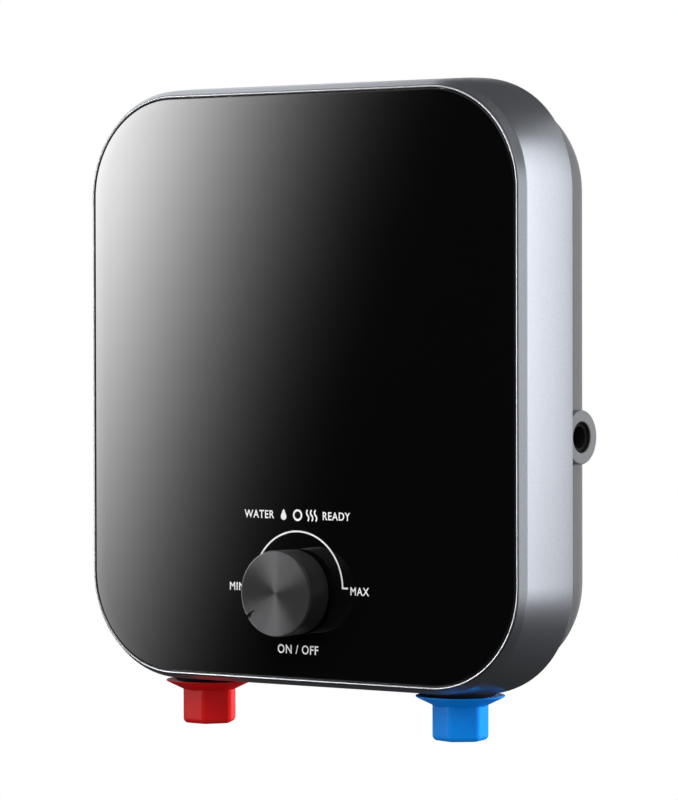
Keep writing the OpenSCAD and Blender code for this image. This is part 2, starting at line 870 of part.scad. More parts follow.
// Transport cap: hexagon pot, turned on its stub and running up into a conical flange
module cap(x, turn) {
    hex_r = cap_af / 2 / cos(30);
    neck_r = cap_af / 2 - cap_tuck;
    translate([x, 0, stub_z]) difference() {
        translate([0, -cap_top, 0]) rotate([90, 0, 0]) {
            rotate_extrude() polygon([
                [0, 0], [cap_flange_r, 0], [cap_flange_r, cap_rim_t],
                [neck_r, cap_flange_h], [0, cap_flange_h]
            ]);
            rotate(turn) translate([0, 0, cap_rim_t])
                cylinder(r = hex_r, h = cap_flange_h + cap_hex_h - cap_rim_t, $fn = 6);
        }
        bar_y(cap_bore_r, -stub_foot - cap_end_gap, -cap_top + cut, 0, 0);
    }
}

module cold_cap() { color([0.05, 0.4, 0.8]) upright() cap(stub_x, cold_cap_turn); }

module hot_cap() { color([0.75, 0.08, 0.08]) upright() cap(-stub_x, hot_cap_turn); }

// Places the flow-sensor pieces on the chamber axis
module on_flow_axis() { upright() translate([stub_x, -flow_drop, stub_z]) children(); }

// Flow chamber, open at the front, with its two ports
module flow_sensor_body() {
    color([0.25, 0.25, 0.27]) on_flow_axis() difference() {
        union() {
            bar_z(flow_r, -flow_half_t, flow_half_t - flow_lid_t, 0, 0);
            bar_y(tube_r, flow_drop - tube_foot, flow_drop - flow_head, 0, 0);
        }
        bar_z(flow_r - flow_wall, -flow_half_t + flow_lid_t, flow_half_t, 0, 0);
        bar_y(tube_r - tube_wall, flow_drop - tube_foot - cut, flow_drop - flow_head + cut, 0, 0);
        bar_z(pin_r + run_clear, -flow_half_t + flow_lid_t - pin_seat, 0, 0, 0);
    }
}

// Lid of the flow chamber with the sensor pocket
module flow_sensor_cover() {
    color([0.3, 0.3, 0.32]) on_flow_axis() difference() {
        union() {
            bar_z(flow_r, flow_half_t - flow_lid_t, flow_half_t, 0, 0);
            translate([-hall_w / 2, hub_r + cut, flow_half_t - join]) cube([hall_w, hall_h, hall_t + join]);
        }
        bar_z(pin_r + run_clear, 0, flow_half_t - flow_lid_t + pin_seat, 0, 0);
    }
}

// Impeller with straight blades
module flow_impeller() {
    color("white") on_flow_axis() difference() {
        union() {
            bar_z(hub_r, -impeller_half_t, impeller_half_t, 0, 0);
            for (k = [0:blade_count - 1]) rotate(360 / blade_count * k)
                translate([0, -blade_t / 2, -impeller_half_t + blade_step])
                    cube([impeller_r, blade_t, 2 * (impeller_half_t - blade_step)]);
        }
        bar_z(pin_r + run_clear, -impeller_half_t - cut, impeller_half_t + cut, 0, 0);
    }
}

// Pin of the impeller
module impeller_pin() {
    reach = flow_half_t - flow_lid_t + pin_seat;
    color("silver") on_flow_axis() bar_z(pin_r, -reach, reach, 0, 0);
}

// Places the vessel pieces on the vessel axis, with z along the vessel from its closed end
module on_tank_axis() {
    upright() translate([-tank_half, tank_rise, tank_z]) rotate([0, 90, 0]) children();
}

// Outline of the vessel: a pot with a rounded closed end
module tank_outline(r, edge, s0) {
    translate([0, s0]) square([r - edge, 2 * tank_half - s0]);
    translate([0, s0 + edge]) square([r, 2 * tank_half - s0 - edge]);
    translate([r - edge, s0 + edge]) circle(edge);
}

// Places of the flange screws round the vessel axis
module flange_places() {
    for (k = [0:flange_screw_n - 1])
        rotate(360 / flange_screw_n * (k + 0.5)) translate([flange_pcd_r, 0, 0]) children();
}

// Blank of a vessel flange, kept clear of the panel and the cover
module flange_blank(t) {
    intersection() {
        cylinder(r = tank_flange_r, h = t);
        translate([-flange_flat, -tank_flange_r - cut, -cut])
            cube([2 * flange_flat, 2 * (tank_flange_r + cut), t + 2 * cut]);
    }
}

// Heating vessel with flange, two water ports and two bosses
module tank_shell() {
    color([0.75, 0.76, 0.78]) difference() {
        union() {
            on_tank_axis() {
                rotate_extrude() tank_outline(tank_r, tank_edge_r, 0);
                translate([0, 0, 2 * tank_half - tank_flange_t]) flange_blank(tank_flange_t);
            }
            upright() {
                both_stubs() bar_y(tube_r + port_wall, port_foot, tank_rise, 0, 0);
                bar_y(boss_r, tank_rise, boss_top, cutout_x, tank_z);
                bar_y(boss_r, tank_rise, boss_top, -cutout_x, tank_z);
            }
        }
        on_tank_axis() {
            rotate_extrude() tank_outline(tank_r - tank_wall, tank_edge_r - tank_wall, tank_wall);
            translate([0, 0, 2 * tank_half - cut]) cylinder(r = tank_r - tank_wall, h = 2 * cut);
            flange_places() bar_z(flange_screw_r + run_clear, 2 * tank_half - tank_flange_t - cut,
                                  2 * tank_half + cut, 0, 0);
        }
        upright() {
            both_stubs() {
                bar_y(tube_r + run_clear, port_foot - cut, tube_top, 0, 0);
                bar_y(tube_r - tube_wall, port_foot, tank_rise, 0, 0);
            }
            bar_y(earth_r + run_clear, boss_top - earth_len, boss_top + cut, -cutout_x, tank_z);
        }
    }
}

// Sealing ring of the vessel flange
module tank_gasket() {
    color([0.1, 0.1, 0.1]) on_tank_axis() translate([0, 0, 2 * tank_half]) difference() {
        flange_blank(gasket_t);
        bar_z(tank_r - tank_wall, -cut, gasket_t + cut, 0, 0);
        flange_places() bar_z(flange_screw_r + run_clear, -cut, gasket_t + cut, 0, 0);
    }
}

// End plate of the vessel that carries the heating element
module tank_flange() {
    color([0.7, 0.71, 0.73]) on_tank_axis() translate([0, 0, 2 * tank_half + gasket_t]) difference() {
        flange_blank(tank_flange_t);
        flange_places() bar_z(flange_screw_r + run_clear, -cut, tank_flange_t + cut, 0, 0);
        for (s = [-1, 1]) bar_z(element_r + run_clear, -cut, tank_flange_t + cut, 0, s * element_gap);
    }
}

// Screws of the vessel flange
module tank_screws() {
    color("silver") on_tank_axis() translate([0, 0, flange_top]) flange_places()
        screw(flange_screw_r, tank_flange_t + gasket_t + tank_flange_t, flange_head_r, flange_head_h);
}

// Sheathed heating element bent into a hairpin, with its two terminal studs
module heating_element() {
    color([0.55, 0.5, 0.42]) on_tank_axis() {
        for (s = [-1, 1]) {
            bar_z(element_r, element_start, flange_top + element_out, 0, s * element_gap);
            bar_z(stud_r, flange_top, flange_top + element_out + stud_len, 0, s * element_gap);
        }
        translate([0, 0, element_start]) rotate([0, 90, 0]) rotate(-90)
            rotate_extrude(angle = 180) translate([element_gap, 0]) circle(element_r);
    }
}

// Saddles that carry the vessel on the rear cover
module tank_saddles() {
    color([0.65, 0.65, 0.67]) upright() for (s = [-1, 1]) difference() {
        translate([s * saddle_x - saddle_w / 2, tank_rise - saddle_span / 2, wall])
            cube([saddle_w, saddle_span, tank_z - wall]);
        bar_x(tank_r + run_clear, s * saddle_x - saddle_w, s * saddle_x + saddle_w, tank_rise, tank_z);
    }
}

// Cold tube with a bell end over the port of the flow sensor
module inlet_tube() {
    bell_r = tube_r + run_clear + tube_wall;
    color([0.7, 0.45, 0.3]) upright() translate([stub_x, 0, stub_z]) difference() {
        union() {
            bar_y(tube_r, -flow_head, tube_top, 0, 0);
            bar_y(bell_r, -flow_head - bell_len, -flow_head + bell_len, 0, 0);
        }
        bar_y(tube_r - tube_wall, -flow_head - bell_len, tube_top + cut, 0, 0);
        bar_y(tube_r + run_clear, -flow_head - bell_len - cut, -flow_head, 0, 0);
    }
}

// Hot tube from the vessel to the outlet fitting
module outlet_tube() {
    color([0.7, 0.45, 0.3]) upright() translate([-stub_x, 0, stub_z]) difference() {
        bar_y(tube_r, -tube_foot, tube_top, 0, 0);
        bar_y(tube_r - tube_wall, -tube_foot - cut, tube_top + cut, 0, 0);
    }
}

// Thermal cut-out on its boss of the vessel, with two blade terminals
module thermal_cutout() {
    color([0.15, 0.13, 0.12]) upright() difference() {
        union() {
            bar_y(cutout_r, boss_top, boss_top + cutout_h, cutout_x, tank_z);
            for (s = [-1, 1])
                translate([cutout_x + s * cutout_r, boss_top + (cutout_h + blade_len) / 2, tank_z])
                    cube([blade_w, blade_len, blade_w], center = true);
        }
        bar_y(button_r + run_clear, boss_top + cutout_h - button_hole, boss_top + cutout_h + cut,
              cutout_x, tank_z);
    }
}

// Reset button of the cut-out
module reset_button() {
    foot = boss_top + cutout_h - button_hole + button_travel + body_gap;
    color("red") upright() bar_y(button_r, foot, foot + button_len, cutout_x, tank_z);
}

// Earth screw in the second boss of the vessel
module earth_screw() {
    color("seagreen") upright() translate([-cutout_x, boss_top, tank_z]) rotate([-90, 0, 0])
        screw(earth_r, earth_len - cut, earth_head_r, earth_head_h);
}

// Finned heat sink clamped on the cold tube
module heat_sink() {
    fin_pitch = sink_h / fin_n;
    color([0.6, 0.62, 0.65]) upright() translate([stub_x, sink_y, stub_z]) difference() {
        union() {
            translate([-sink_w / 2, 0, -sink_depth / 2]) cube([sink_w, sink_h, sink_depth]);
            for (k = [0:fin_n - 1])
                translate([sink_w / 2 - join, (k + 0.5) * fin_pitch - fin_w / 2, -sink_depth / 2])
                    cube([fin_d + join, fin_w, sink_depth]);
        }
        bar_y(tube_r + run_clear, -cut, sink_h + cut, 0, 0);
        bar_x(triac_screw_r + run_clear, -sink_w / 2 - cut, -sink_w / 2 + triac_screw_len,
              triac_screw_y - sink_y, 0);
    }
}

// Triac on the heat sink
module triac() {
    color([0.1, 0.1, 0.1]) upright()
    translate([stub_x - sink_w / 2, triac_y, stub_z - triac_depth / 2]) difference() {
        union() {
            translate([-triac_w, 0, 0]) cube([triac_w, triac_h, triac_depth]);
            translate([-triac_tab_t, triac_h - join, 0])
                cube([triac_tab_t, triac_tab_h + join, triac_depth]);
        }
        bar_x(triac_screw_r + run_clear, -triac_w, cut, triac_screw_y - triac_y, triac_depth / 2);
    }
}

// Screw of the triac
module triac_screw() {
    color("silver") upright()
        translate([stub_x - sink_w / 2 - triac_tab_t, triac_screw_y, stub_z]) rotate([0, -90, 0])
            screw(triac_screw_r, triac_tab_t + triac_screw_len - cut, board_head_r, board_head_t);
}

// Power board on the posts of the rear cover
module power_board() {
    color([0.05, 0.3, 0.12]) upright() difference() {
        translate([power_x, power_y, power_z]) cube([power_w, power_h, board_t]);
        power_posts() bar_z(board_hole_r, power_z - cut, power_z + board_t + cut, 0, 0);
    }
}

// Screws of the power board
module power_board_screws() {
    color("silver") upright() power_posts() translate([0, 0, power_z + board_t])
        screw(board_screw_r, board_t + power_post_h - 2 * cut, board_head_r, board_head_t);
}

// Relay, transformer, capacitors and plug sockets on the power board
module power_board_parts() {
    color([0.2, 0.25, 0.5]) upright() translate([power_x, power_y, power_z + board_t]) {
        translate(relay_at) cube(relay_size);
        translate(transformer_at) cube(transformer_size);
        for (k = [0:capacitor_n - 1]) translate(capacitor_at + [k * capacitor_pitch, 0, 0])
            cylinder(r = capacitor_r, h = capacitor_h);
        for (k = [0:1]) translate(socket_at + [k * socket_pitch, 0, 0]) cube(socket_size);
    }
}

front_glass();
glass_tape();
front_shell();
rear_cover();
shell_seal();
case_screws();
knob_body();
knob_face();
knob_hub();
control_shaft();
switch_plunger();
control_housing();
control_nut();
control_washer();
shaft_seal();
control_board();
board_screws();
status_led();
led_window();
cable_gland();
gland_grommet();
gland_nut();
cord_clamp();
cord_clamp_screws();
terminal_block();
terminal_screws();
earth_screw();
inlet_fitting();
outlet_fitting();
inlet_collar();
outlet_collar();
fitting_o_rings();
inlet_filter();
cold_cap();
hot_cap();
flow_sensor_body();
flow_sensor_cover();
flow_impeller();
impeller_pin();
tank_shell();
tank_flange();
tank_gasket();
tank_screws();
heating_element();
tank_saddles();
inlet_tube();
outlet_tube();
thermal_cutout();
reset_button();
heat_sink();
triac();
triac_screw();
power_board();
power_board_parts();
power_board_screws();
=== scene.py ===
"""Finished look of a wall-mounted instant water heater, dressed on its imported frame.

The heater hangs on a wall in the plane Y = 0 and faces -Y. Its black glass, silver shell, knob, cable
gland, collars and transport caps are modelled here with fine edges; every other node of the frame keeps
its shape and gets a finish. All sizes are in metres.
"""

import json
import logging
import math
from dataclasses import dataclass
from enum import Enum
from typing import Iterable, Sequence

import bmesh
import bpy
from mathutils import Matrix, Vector

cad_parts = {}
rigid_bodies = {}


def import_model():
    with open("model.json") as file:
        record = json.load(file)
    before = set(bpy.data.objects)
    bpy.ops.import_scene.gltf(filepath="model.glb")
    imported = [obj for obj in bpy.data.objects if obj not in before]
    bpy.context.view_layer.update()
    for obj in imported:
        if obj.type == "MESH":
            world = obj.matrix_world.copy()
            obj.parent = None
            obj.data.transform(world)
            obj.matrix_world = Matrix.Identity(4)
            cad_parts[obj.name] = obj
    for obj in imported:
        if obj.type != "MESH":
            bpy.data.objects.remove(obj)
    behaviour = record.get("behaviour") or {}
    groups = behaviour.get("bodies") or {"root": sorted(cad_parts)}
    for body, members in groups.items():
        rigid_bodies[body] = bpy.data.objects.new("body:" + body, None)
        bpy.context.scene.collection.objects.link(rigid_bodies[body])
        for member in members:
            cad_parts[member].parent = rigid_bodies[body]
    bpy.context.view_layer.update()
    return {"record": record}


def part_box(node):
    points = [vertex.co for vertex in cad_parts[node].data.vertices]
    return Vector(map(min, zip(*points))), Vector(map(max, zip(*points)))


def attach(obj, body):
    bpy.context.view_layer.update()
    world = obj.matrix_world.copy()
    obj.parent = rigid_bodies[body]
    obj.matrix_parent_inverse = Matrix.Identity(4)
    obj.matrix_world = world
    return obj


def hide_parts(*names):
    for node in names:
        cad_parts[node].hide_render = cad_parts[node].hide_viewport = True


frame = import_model()

log = logging.getLogger("water_heater")

Point = tuple[float, float, float]
Colour = tuple[float, float, float]
Material = bpy.types.Material
Socket = bpy.types.NodeSocket
Thing = bpy.types.Object
MM = 0.001
TAU = 2 * math.pi
# Faces round a drilled hole or a drawn circle
CIRCLE_STEPS = 48
# Fine grains across one patch of the slow change of tone
GRAIN_PER_PATCH = 30.0
# Distance within which two vertices are one
WELD_DIST = 1e-6


class Body(Enum):
    """Bodies of the frame that the new pieces ride on."""

    HOUSING = "housing"
    KNOB = "knob"
    COLD_CAP = "cold_cap"
    HOT_CAP = "hot_cap"


class Grain(Enum):
    """Directions in which the fine marks of a finish run."""

    EVEN = (1.0, 1.0, 1.0)
    ALONG_X = (0.04, 1.0, 1.0)
    ALONG_Z = (1.0, 1.0, 0.04)


class NodeGraph:
    """Node tree of a material or of the world, with short calls for what the trees share."""

    def __init__(self, owner: Material | bpy.types.World, shader: str = "ShaderNodeBsdfPrincipled",
                 output: str = "ShaderNodeOutputMaterial") -> None:
        """Start a tree with a lone shader.

        Args:
            owner: Material or world that holds the tree.
            shader: Blender's name for the type of its shader.
            output: Blender's name for the type of its output.
        """
        owner.use_nodes = True
        self.tree = owner.node_tree
        self.tree.nodes.clear()
        self.shader = self.add(shader)
        self.join(self.shader.outputs[0], self.add(output).inputs["Surface"])

    def add(self, kind: str, settings: dict | None = None, **sockets: object) -> bpy.types.Node:
        """Add a node.

        Args:
            kind: Blender's name for the node type.
            settings: Properties of the node itself.
            sockets: Input values by socket name, with _ for a space.

        Returns:
            The new node.
        """
        node = self.tree.nodes.new(kind)
        for key, value in (settings or {}).items():
            setattr(node, key, value)
        for key, value in sockets.items():
            node.inputs[key.replace("_", " ")].default_value = value
        return node

    def join(self, source: Socket, target: Socket) -> None:
        """Link an output socket to an input socket."""
        self.tree.links.new(source, target)

    def surface(self, **sockets: object) -> None:
        """Set plain values on the shader's own sockets."""
        for key, value in sockets.items():
            self.shader.inputs[key.replace("_", " ")].default_value = value

    def drive(self, source: Socket, socket: str) -> None:
        """Link an output socket to one of the shader's inputs."""
        self.join(source, self.shader.inputs[socket])

    def reckon(self, operation: str, first: Socket, second: Socket | float, clamp: bool = False) -> Socket:
        """Add a step of arithmetic.

        Args:
            operation: Blender's name for the operation.
            first: First value.
            second: Second value, or a plain number.
            clamp: Whether the outcome is kept between 0 and 1.

        Returns:
            The outcome's socket.
        """
        node = self.add("ShaderNodeMath", {"operation": operation, "use_clamp": clamp})
        self.join(first, node.inputs[0])
        if isinstance(second, Socket):
            self.join(second, node.inputs[1])
        else:
            node.inputs[1].default_value = second
        return node.outputs["Value"]

    def vector(self, operation: str, first: Socket, second: Sequence[float] = (0, 0, 0)) -> bpy.types.Node:
        """Add a step of arithmetic on a vector and a plain vector.

        Args:
            operation: Blender's name for the operation.
            first: First vector.
            second: Second vector.

        Returns:
            The new node.
        """
        node = self.add("ShaderNodeVectorMath", {"operation": operation})
        self.join(first, node.inputs[0])
        node.inputs[1].default_value = second
        return node

    def place(self, centre: Sequence[float] = (0, 0, 0), stretch: Sequence[float] = (1, 1, 1)) -> Socket:
        """Give coordinates on the piece, measured from a point and stretched along the axes.

        Args:
            centre: Point that becomes the origin.
            stretch: Factor along each axis.

        Returns:
            The coordinates' socket.
        """
        where = self.add("ShaderNodeTexCoord").outputs["Object"]
        shifted = self.vector("SUBTRACT", where, centre).outputs[0]
        return self.vector("MULTIPLY", shifted, stretch).outputs[0]

    def height(self, where: Socket) -> Socket:
        """Give the height of a point.

        Args:
            where: Coordinates of the point.

        Returns:
            The height's socket.
        """
        axes = self.add("ShaderNodeSeparateXYZ")
        self.join(where, axes.inputs["Vector"])
        return axes.outputs["Z"]

    def noise(self, where: Socket, scale: float, detail: float = 3.0) -> Socket:
        """Give a noise from 0 to 1.

        Args:
            where: Coordinates.
            scale: Cells per metre.
            detail: Layers of finer noise on top.

        Returns:
            The noise's socket.
        """
        node = self.add("ShaderNodeTexNoise", Scale=scale, Detail=detail, Roughness=0.55)
        self.join(where, node.inputs["Vector"])
        return node.outputs["Fac"]

    def spread(self, source: Socket, low: float, high: float, start: float = 0.3, end: float = 0.7) -> Socket:
        """Stretch a part of a value's range.

        Args:
            source: The value.
            low: What the start of the part becomes.
            high: What the end of the part becomes.
            start: Start of the part; that of the middle of a noise unless given.
            end: End of the part.

        Returns:
            The outcome's socket.
        """
        node = self.add("ShaderNodeMapRange", From_Min=start, From_Max=end, To_Min=low, To_Max=high)
        self.join(source, node.inputs["Value"])
        return node.outputs["Result"]

    def tint(self, source: Socket, dark: Colour, light: Colour) -> Socket:
        """Mix two colours.

        Args:
            source: Share of the light colour, from 0 to 1.
            dark: Colour at 0.
            light: Colour at 1.

        Returns:
            The mixed colour's socket.
        """
        node = self.add("ShaderNodeMix", {"data_type": "RGBA"})
        colours = [s for s in node.inputs if s.type == "RGBA"]
        colours[0].default_value = (*dark, 1)
        colours[1].default_value = (*light, 1)
        self.join(source, node.inputs["Factor"])
        return [s for s in node.outputs if s.type == "RGBA"][0]

    def relief(self, height: Socket, depth: float, strength: float) -> None:
        """Bump the surface by a height value.

        Args:
            height: Value from 0 to 1.
            depth: Height of 1, in metres.
            strength: Share of the bump that shows.
        """
        node = self.add("ShaderNodeBump", Strength=strength, Distance=depth)
        self.join(height, node.inputs["Height"])
        self.drive(node.outputs["Normal"], "Normal")


def shaded(colour: Colour, factor: float) -> Colour:
    """Scale a colour, kept inside the range of a surface colour."""
    return tuple(min(1.0, max(0.0, c * factor)) for c in colour)


@dataclass(frozen=True)
class Finish:
    """A moulded, cast or drawn surface with fine grain and a slight change of tone.

    Attributes:
        name: Name of the material, for most finishes also that of the record's slot.
        colour: Main colour.
        roughness: Mean roughness.
        metallic: 1 for bare metal.
        cells: Cells of the fine grain per metre.
        depth: Depth of the fine grain.
        mottle: Share by which the tone changes over the surface.
        grain: Direction of the fine marks.
        gloss: Level of the mirrored light on bare plastic.
        uneven: Share by which the roughness changes over the surface.
        bump: Share of the grain's relief that shows.
    """

    name: str
    colour: Colour
    roughness: float
    metallic: float = 0.0
    cells: float = 1800.0
    depth: float = 0.00002
    mottle: float = 0.05
    grain: Grain = Grain.EVEN
    gloss: float = 0.5
    uneven: float = 0.12
    bump: float = 0.5

    def material(self) -> Material:
        """Build the material.

        Returns:
            The material.
        """
        material = bpy.data.materials.new(self.name)
        self.dress(NodeGraph(material))
        return material

    def vary_tone(self, graph: NodeGraph, value: Socket) -> None:
        """Darken and lighten the colour along a value from 0 to 1."""
        tone = graph.tint(value, shaded(self.colour, 1 - self.mottle), shaded(self.colour, 1 + self.mottle))
        graph.drive(tone, "Base Color")

    def vary_gloss(self, graph: NodeGraph, value: Socket) -> None:
        """Lower and raise the roughness along a noise."""
        low, high = self.roughness * (1 - self.uneven), self.roughness * (1 + self.uneven)
        graph.drive(graph.spread(value, low, high), "Roughness")

    def dress(self, graph: NodeGraph) -> None:
        """Link tone, roughness and relief into the shader.

        Args:
            graph: Tree that gets the nodes.
        """
        where = graph.place(stretch=self.grain.value)
        fine = graph.noise(where, self.cells)
        self.vary_tone(graph, graph.noise(where, self.cells / GRAIN_PER_PATCH, detail=2.0))
        self.vary_gloss(graph, fine)
        graph.surface(Metallic=self.metallic, Specular_IOR_Level=self.gloss)
        graph.relief(fine, self.depth, self.bump)


@dataclass(frozen=True)
class BlackGlass(Finish):
    """Polished glass, painted black behind, with the faintest unevenness of gloss."""

    def dress(self, graph: NodeGraph) -> None:
        """Link a slow change of gloss into the shader.

        Args:
            graph: Tree that gets the nodes.
        """
        graph.surface(Base_Color=(*self.colour, 1), IOR=1.5)
        self.vary_gloss(graph, graph.noise(graph.place(), self.cells, detail=4.0))


@dataclass(frozen=True)
class SatinPaint(Finish):
    """Satin silver paint with fine metal flakes.

    Attributes:
        flakes: Flakes per metre.
    """

    flakes: float = 2400.0

    def dress(self, graph: NodeGraph) -> None:
        """Link flakes, tone and relief into the shader.

        Args:
            graph: Tree that gets the nodes.
        """
        where = graph.place()
        cells = graph.add("ShaderNodeTexVoronoi", Scale=self.flakes)
        graph.join(where, cells.inputs["Vector"])
        flake = graph.add("ShaderNodeSeparateColor")
        graph.join(cells.outputs["Color"], flake.inputs["Color"])
        value = flake.outputs["Red"]
        self.vary_tone(graph, value)
        self.vary_gloss(graph, value)
        graph.surface(Metallic=self.metallic)
        graph.relief(graph.noise(where, self.cells, detail=2.0), self.depth, self.bump)


@dataclass(frozen=True)
class SpunMetal(Finish):
    """Metal turned on a lathe: fine rings round an axis along Y, which spread its highlights into fans.

    Attributes:
        centre: Point on the axis.
        rings: Rings per metre of radius.
        stretch: Strength of the fans, from 0 to 1.
        twist: Angle by which the fans are turned, as a share of a turn.
    """

    centre: Point = (0.0, 0.0, 0.0)
    rings: float = 6000.0
    stretch: float = 1.0
    twist: float = 0.95

    def dress(self, graph: NodeGraph) -> None:
        """Link the ring tone, the relief and the direction of the marks into the shader.

        Args:
            graph: Tree that gets the nodes.
        """
        flat = graph.place(self.centre, (1, 0, 1))
        ring = graph.add("ShaderNodeTexNoise", {"noise_dimensions": "1D"}, Scale=self.rings, Detail=3.0)
        graph.join(graph.vector("LENGTH", flat).outputs["Value"], ring.inputs["W"])
        value = ring.outputs["Fac"]
        self.vary_tone(graph, value)
        self.vary_gloss(graph, value)
        world = graph.add("ShaderNodeVectorTransform",
                          {"vector_type": "VECTOR", "convert_from": "OBJECT", "convert_to": "WORLD"})
        graph.join(graph.vector("CROSS_PRODUCT", flat, (0, 1, 0)).outputs[0], world.inputs["Vector"])
        graph.drive(world.outputs["Vector"], "Tangent")
        graph.surface(Metallic=self.metallic, Anisotropic=self.stretch, Anisotropic_Rotation=self.twist,
                      Specular_IOR_Level=self.gloss)
        graph.relief(value, self.depth, self.bump)


@dataclass(frozen=True)
class CircuitBoard(Finish):
    """Green board lacquer over a faint grid of copper tracks.

    Attributes:
        pitch: Distance between tracks.
        track_len: Length of a track.
        track_w: Width of a track.
        track_tone: Brightness of a track, as a multiple of the lacquer's.
    """

    pitch: float = 2.5 * MM
    track_len: float = 15.0 * MM
    track_w: float = 0.3125 * MM
    track_tone: float = 1.7

    def dress(self, graph: NodeGraph) -> None:
        """Link the tracks and the lacquer into the shader.

        Args:
            graph: Tree that gets the nodes.
        """
        where = graph.place()
        turn = graph.add("ShaderNodeMapping", Rotation=(math.pi / 2, 0, 0))
        bricks = graph.add("ShaderNodeTexBrick", {"offset": 0.5}, Scale=1.0, Brick_Width=self.track_len,
                           Row_Height=self.pitch, Mortar_Size=self.track_w)
        graph.join(where, turn.inputs["Vector"])
        graph.join(turn.outputs["Vector"], bricks.inputs["Vector"])
        tracks = bricks.outputs["Fac"]
        graph.drive(graph.tint(tracks, self.colour, shaded(self.colour, self.track_tone)), "Base Color")
        self.vary_gloss(graph, graph.noise(where, self.cells))
        graph.relief(tracks, self.depth, self.bump)


@dataclass(frozen=True)
class Corner:
    """A corner of a wall profile.

    Attributes:
        out: Distance outwards from the edge of the glass, or from an axis.
        depth: Place along Y, or along the axis.
        round: How far back from the corner its rounding starts, or 0 for a sharp corner.
        steps: Faces across the rounding.
    """

    out: float
    depth: float
    round: float = 0.0
    steps: int = 4


def verts_in(geom: Iterable) -> list[bmesh.types.BMVert]:
    """Give the vertices among mixed parts of a mesh."""
    return [g for g in geom if isinstance(g, bmesh.types.BMVert)]


def edges_in(geom: Iterable) -> list[bmesh.types.BMEdge]:
    """Give the edges among mixed parts of a mesh."""
    return [g for g in geom if isinstance(g, bmesh.types.BMEdge)]


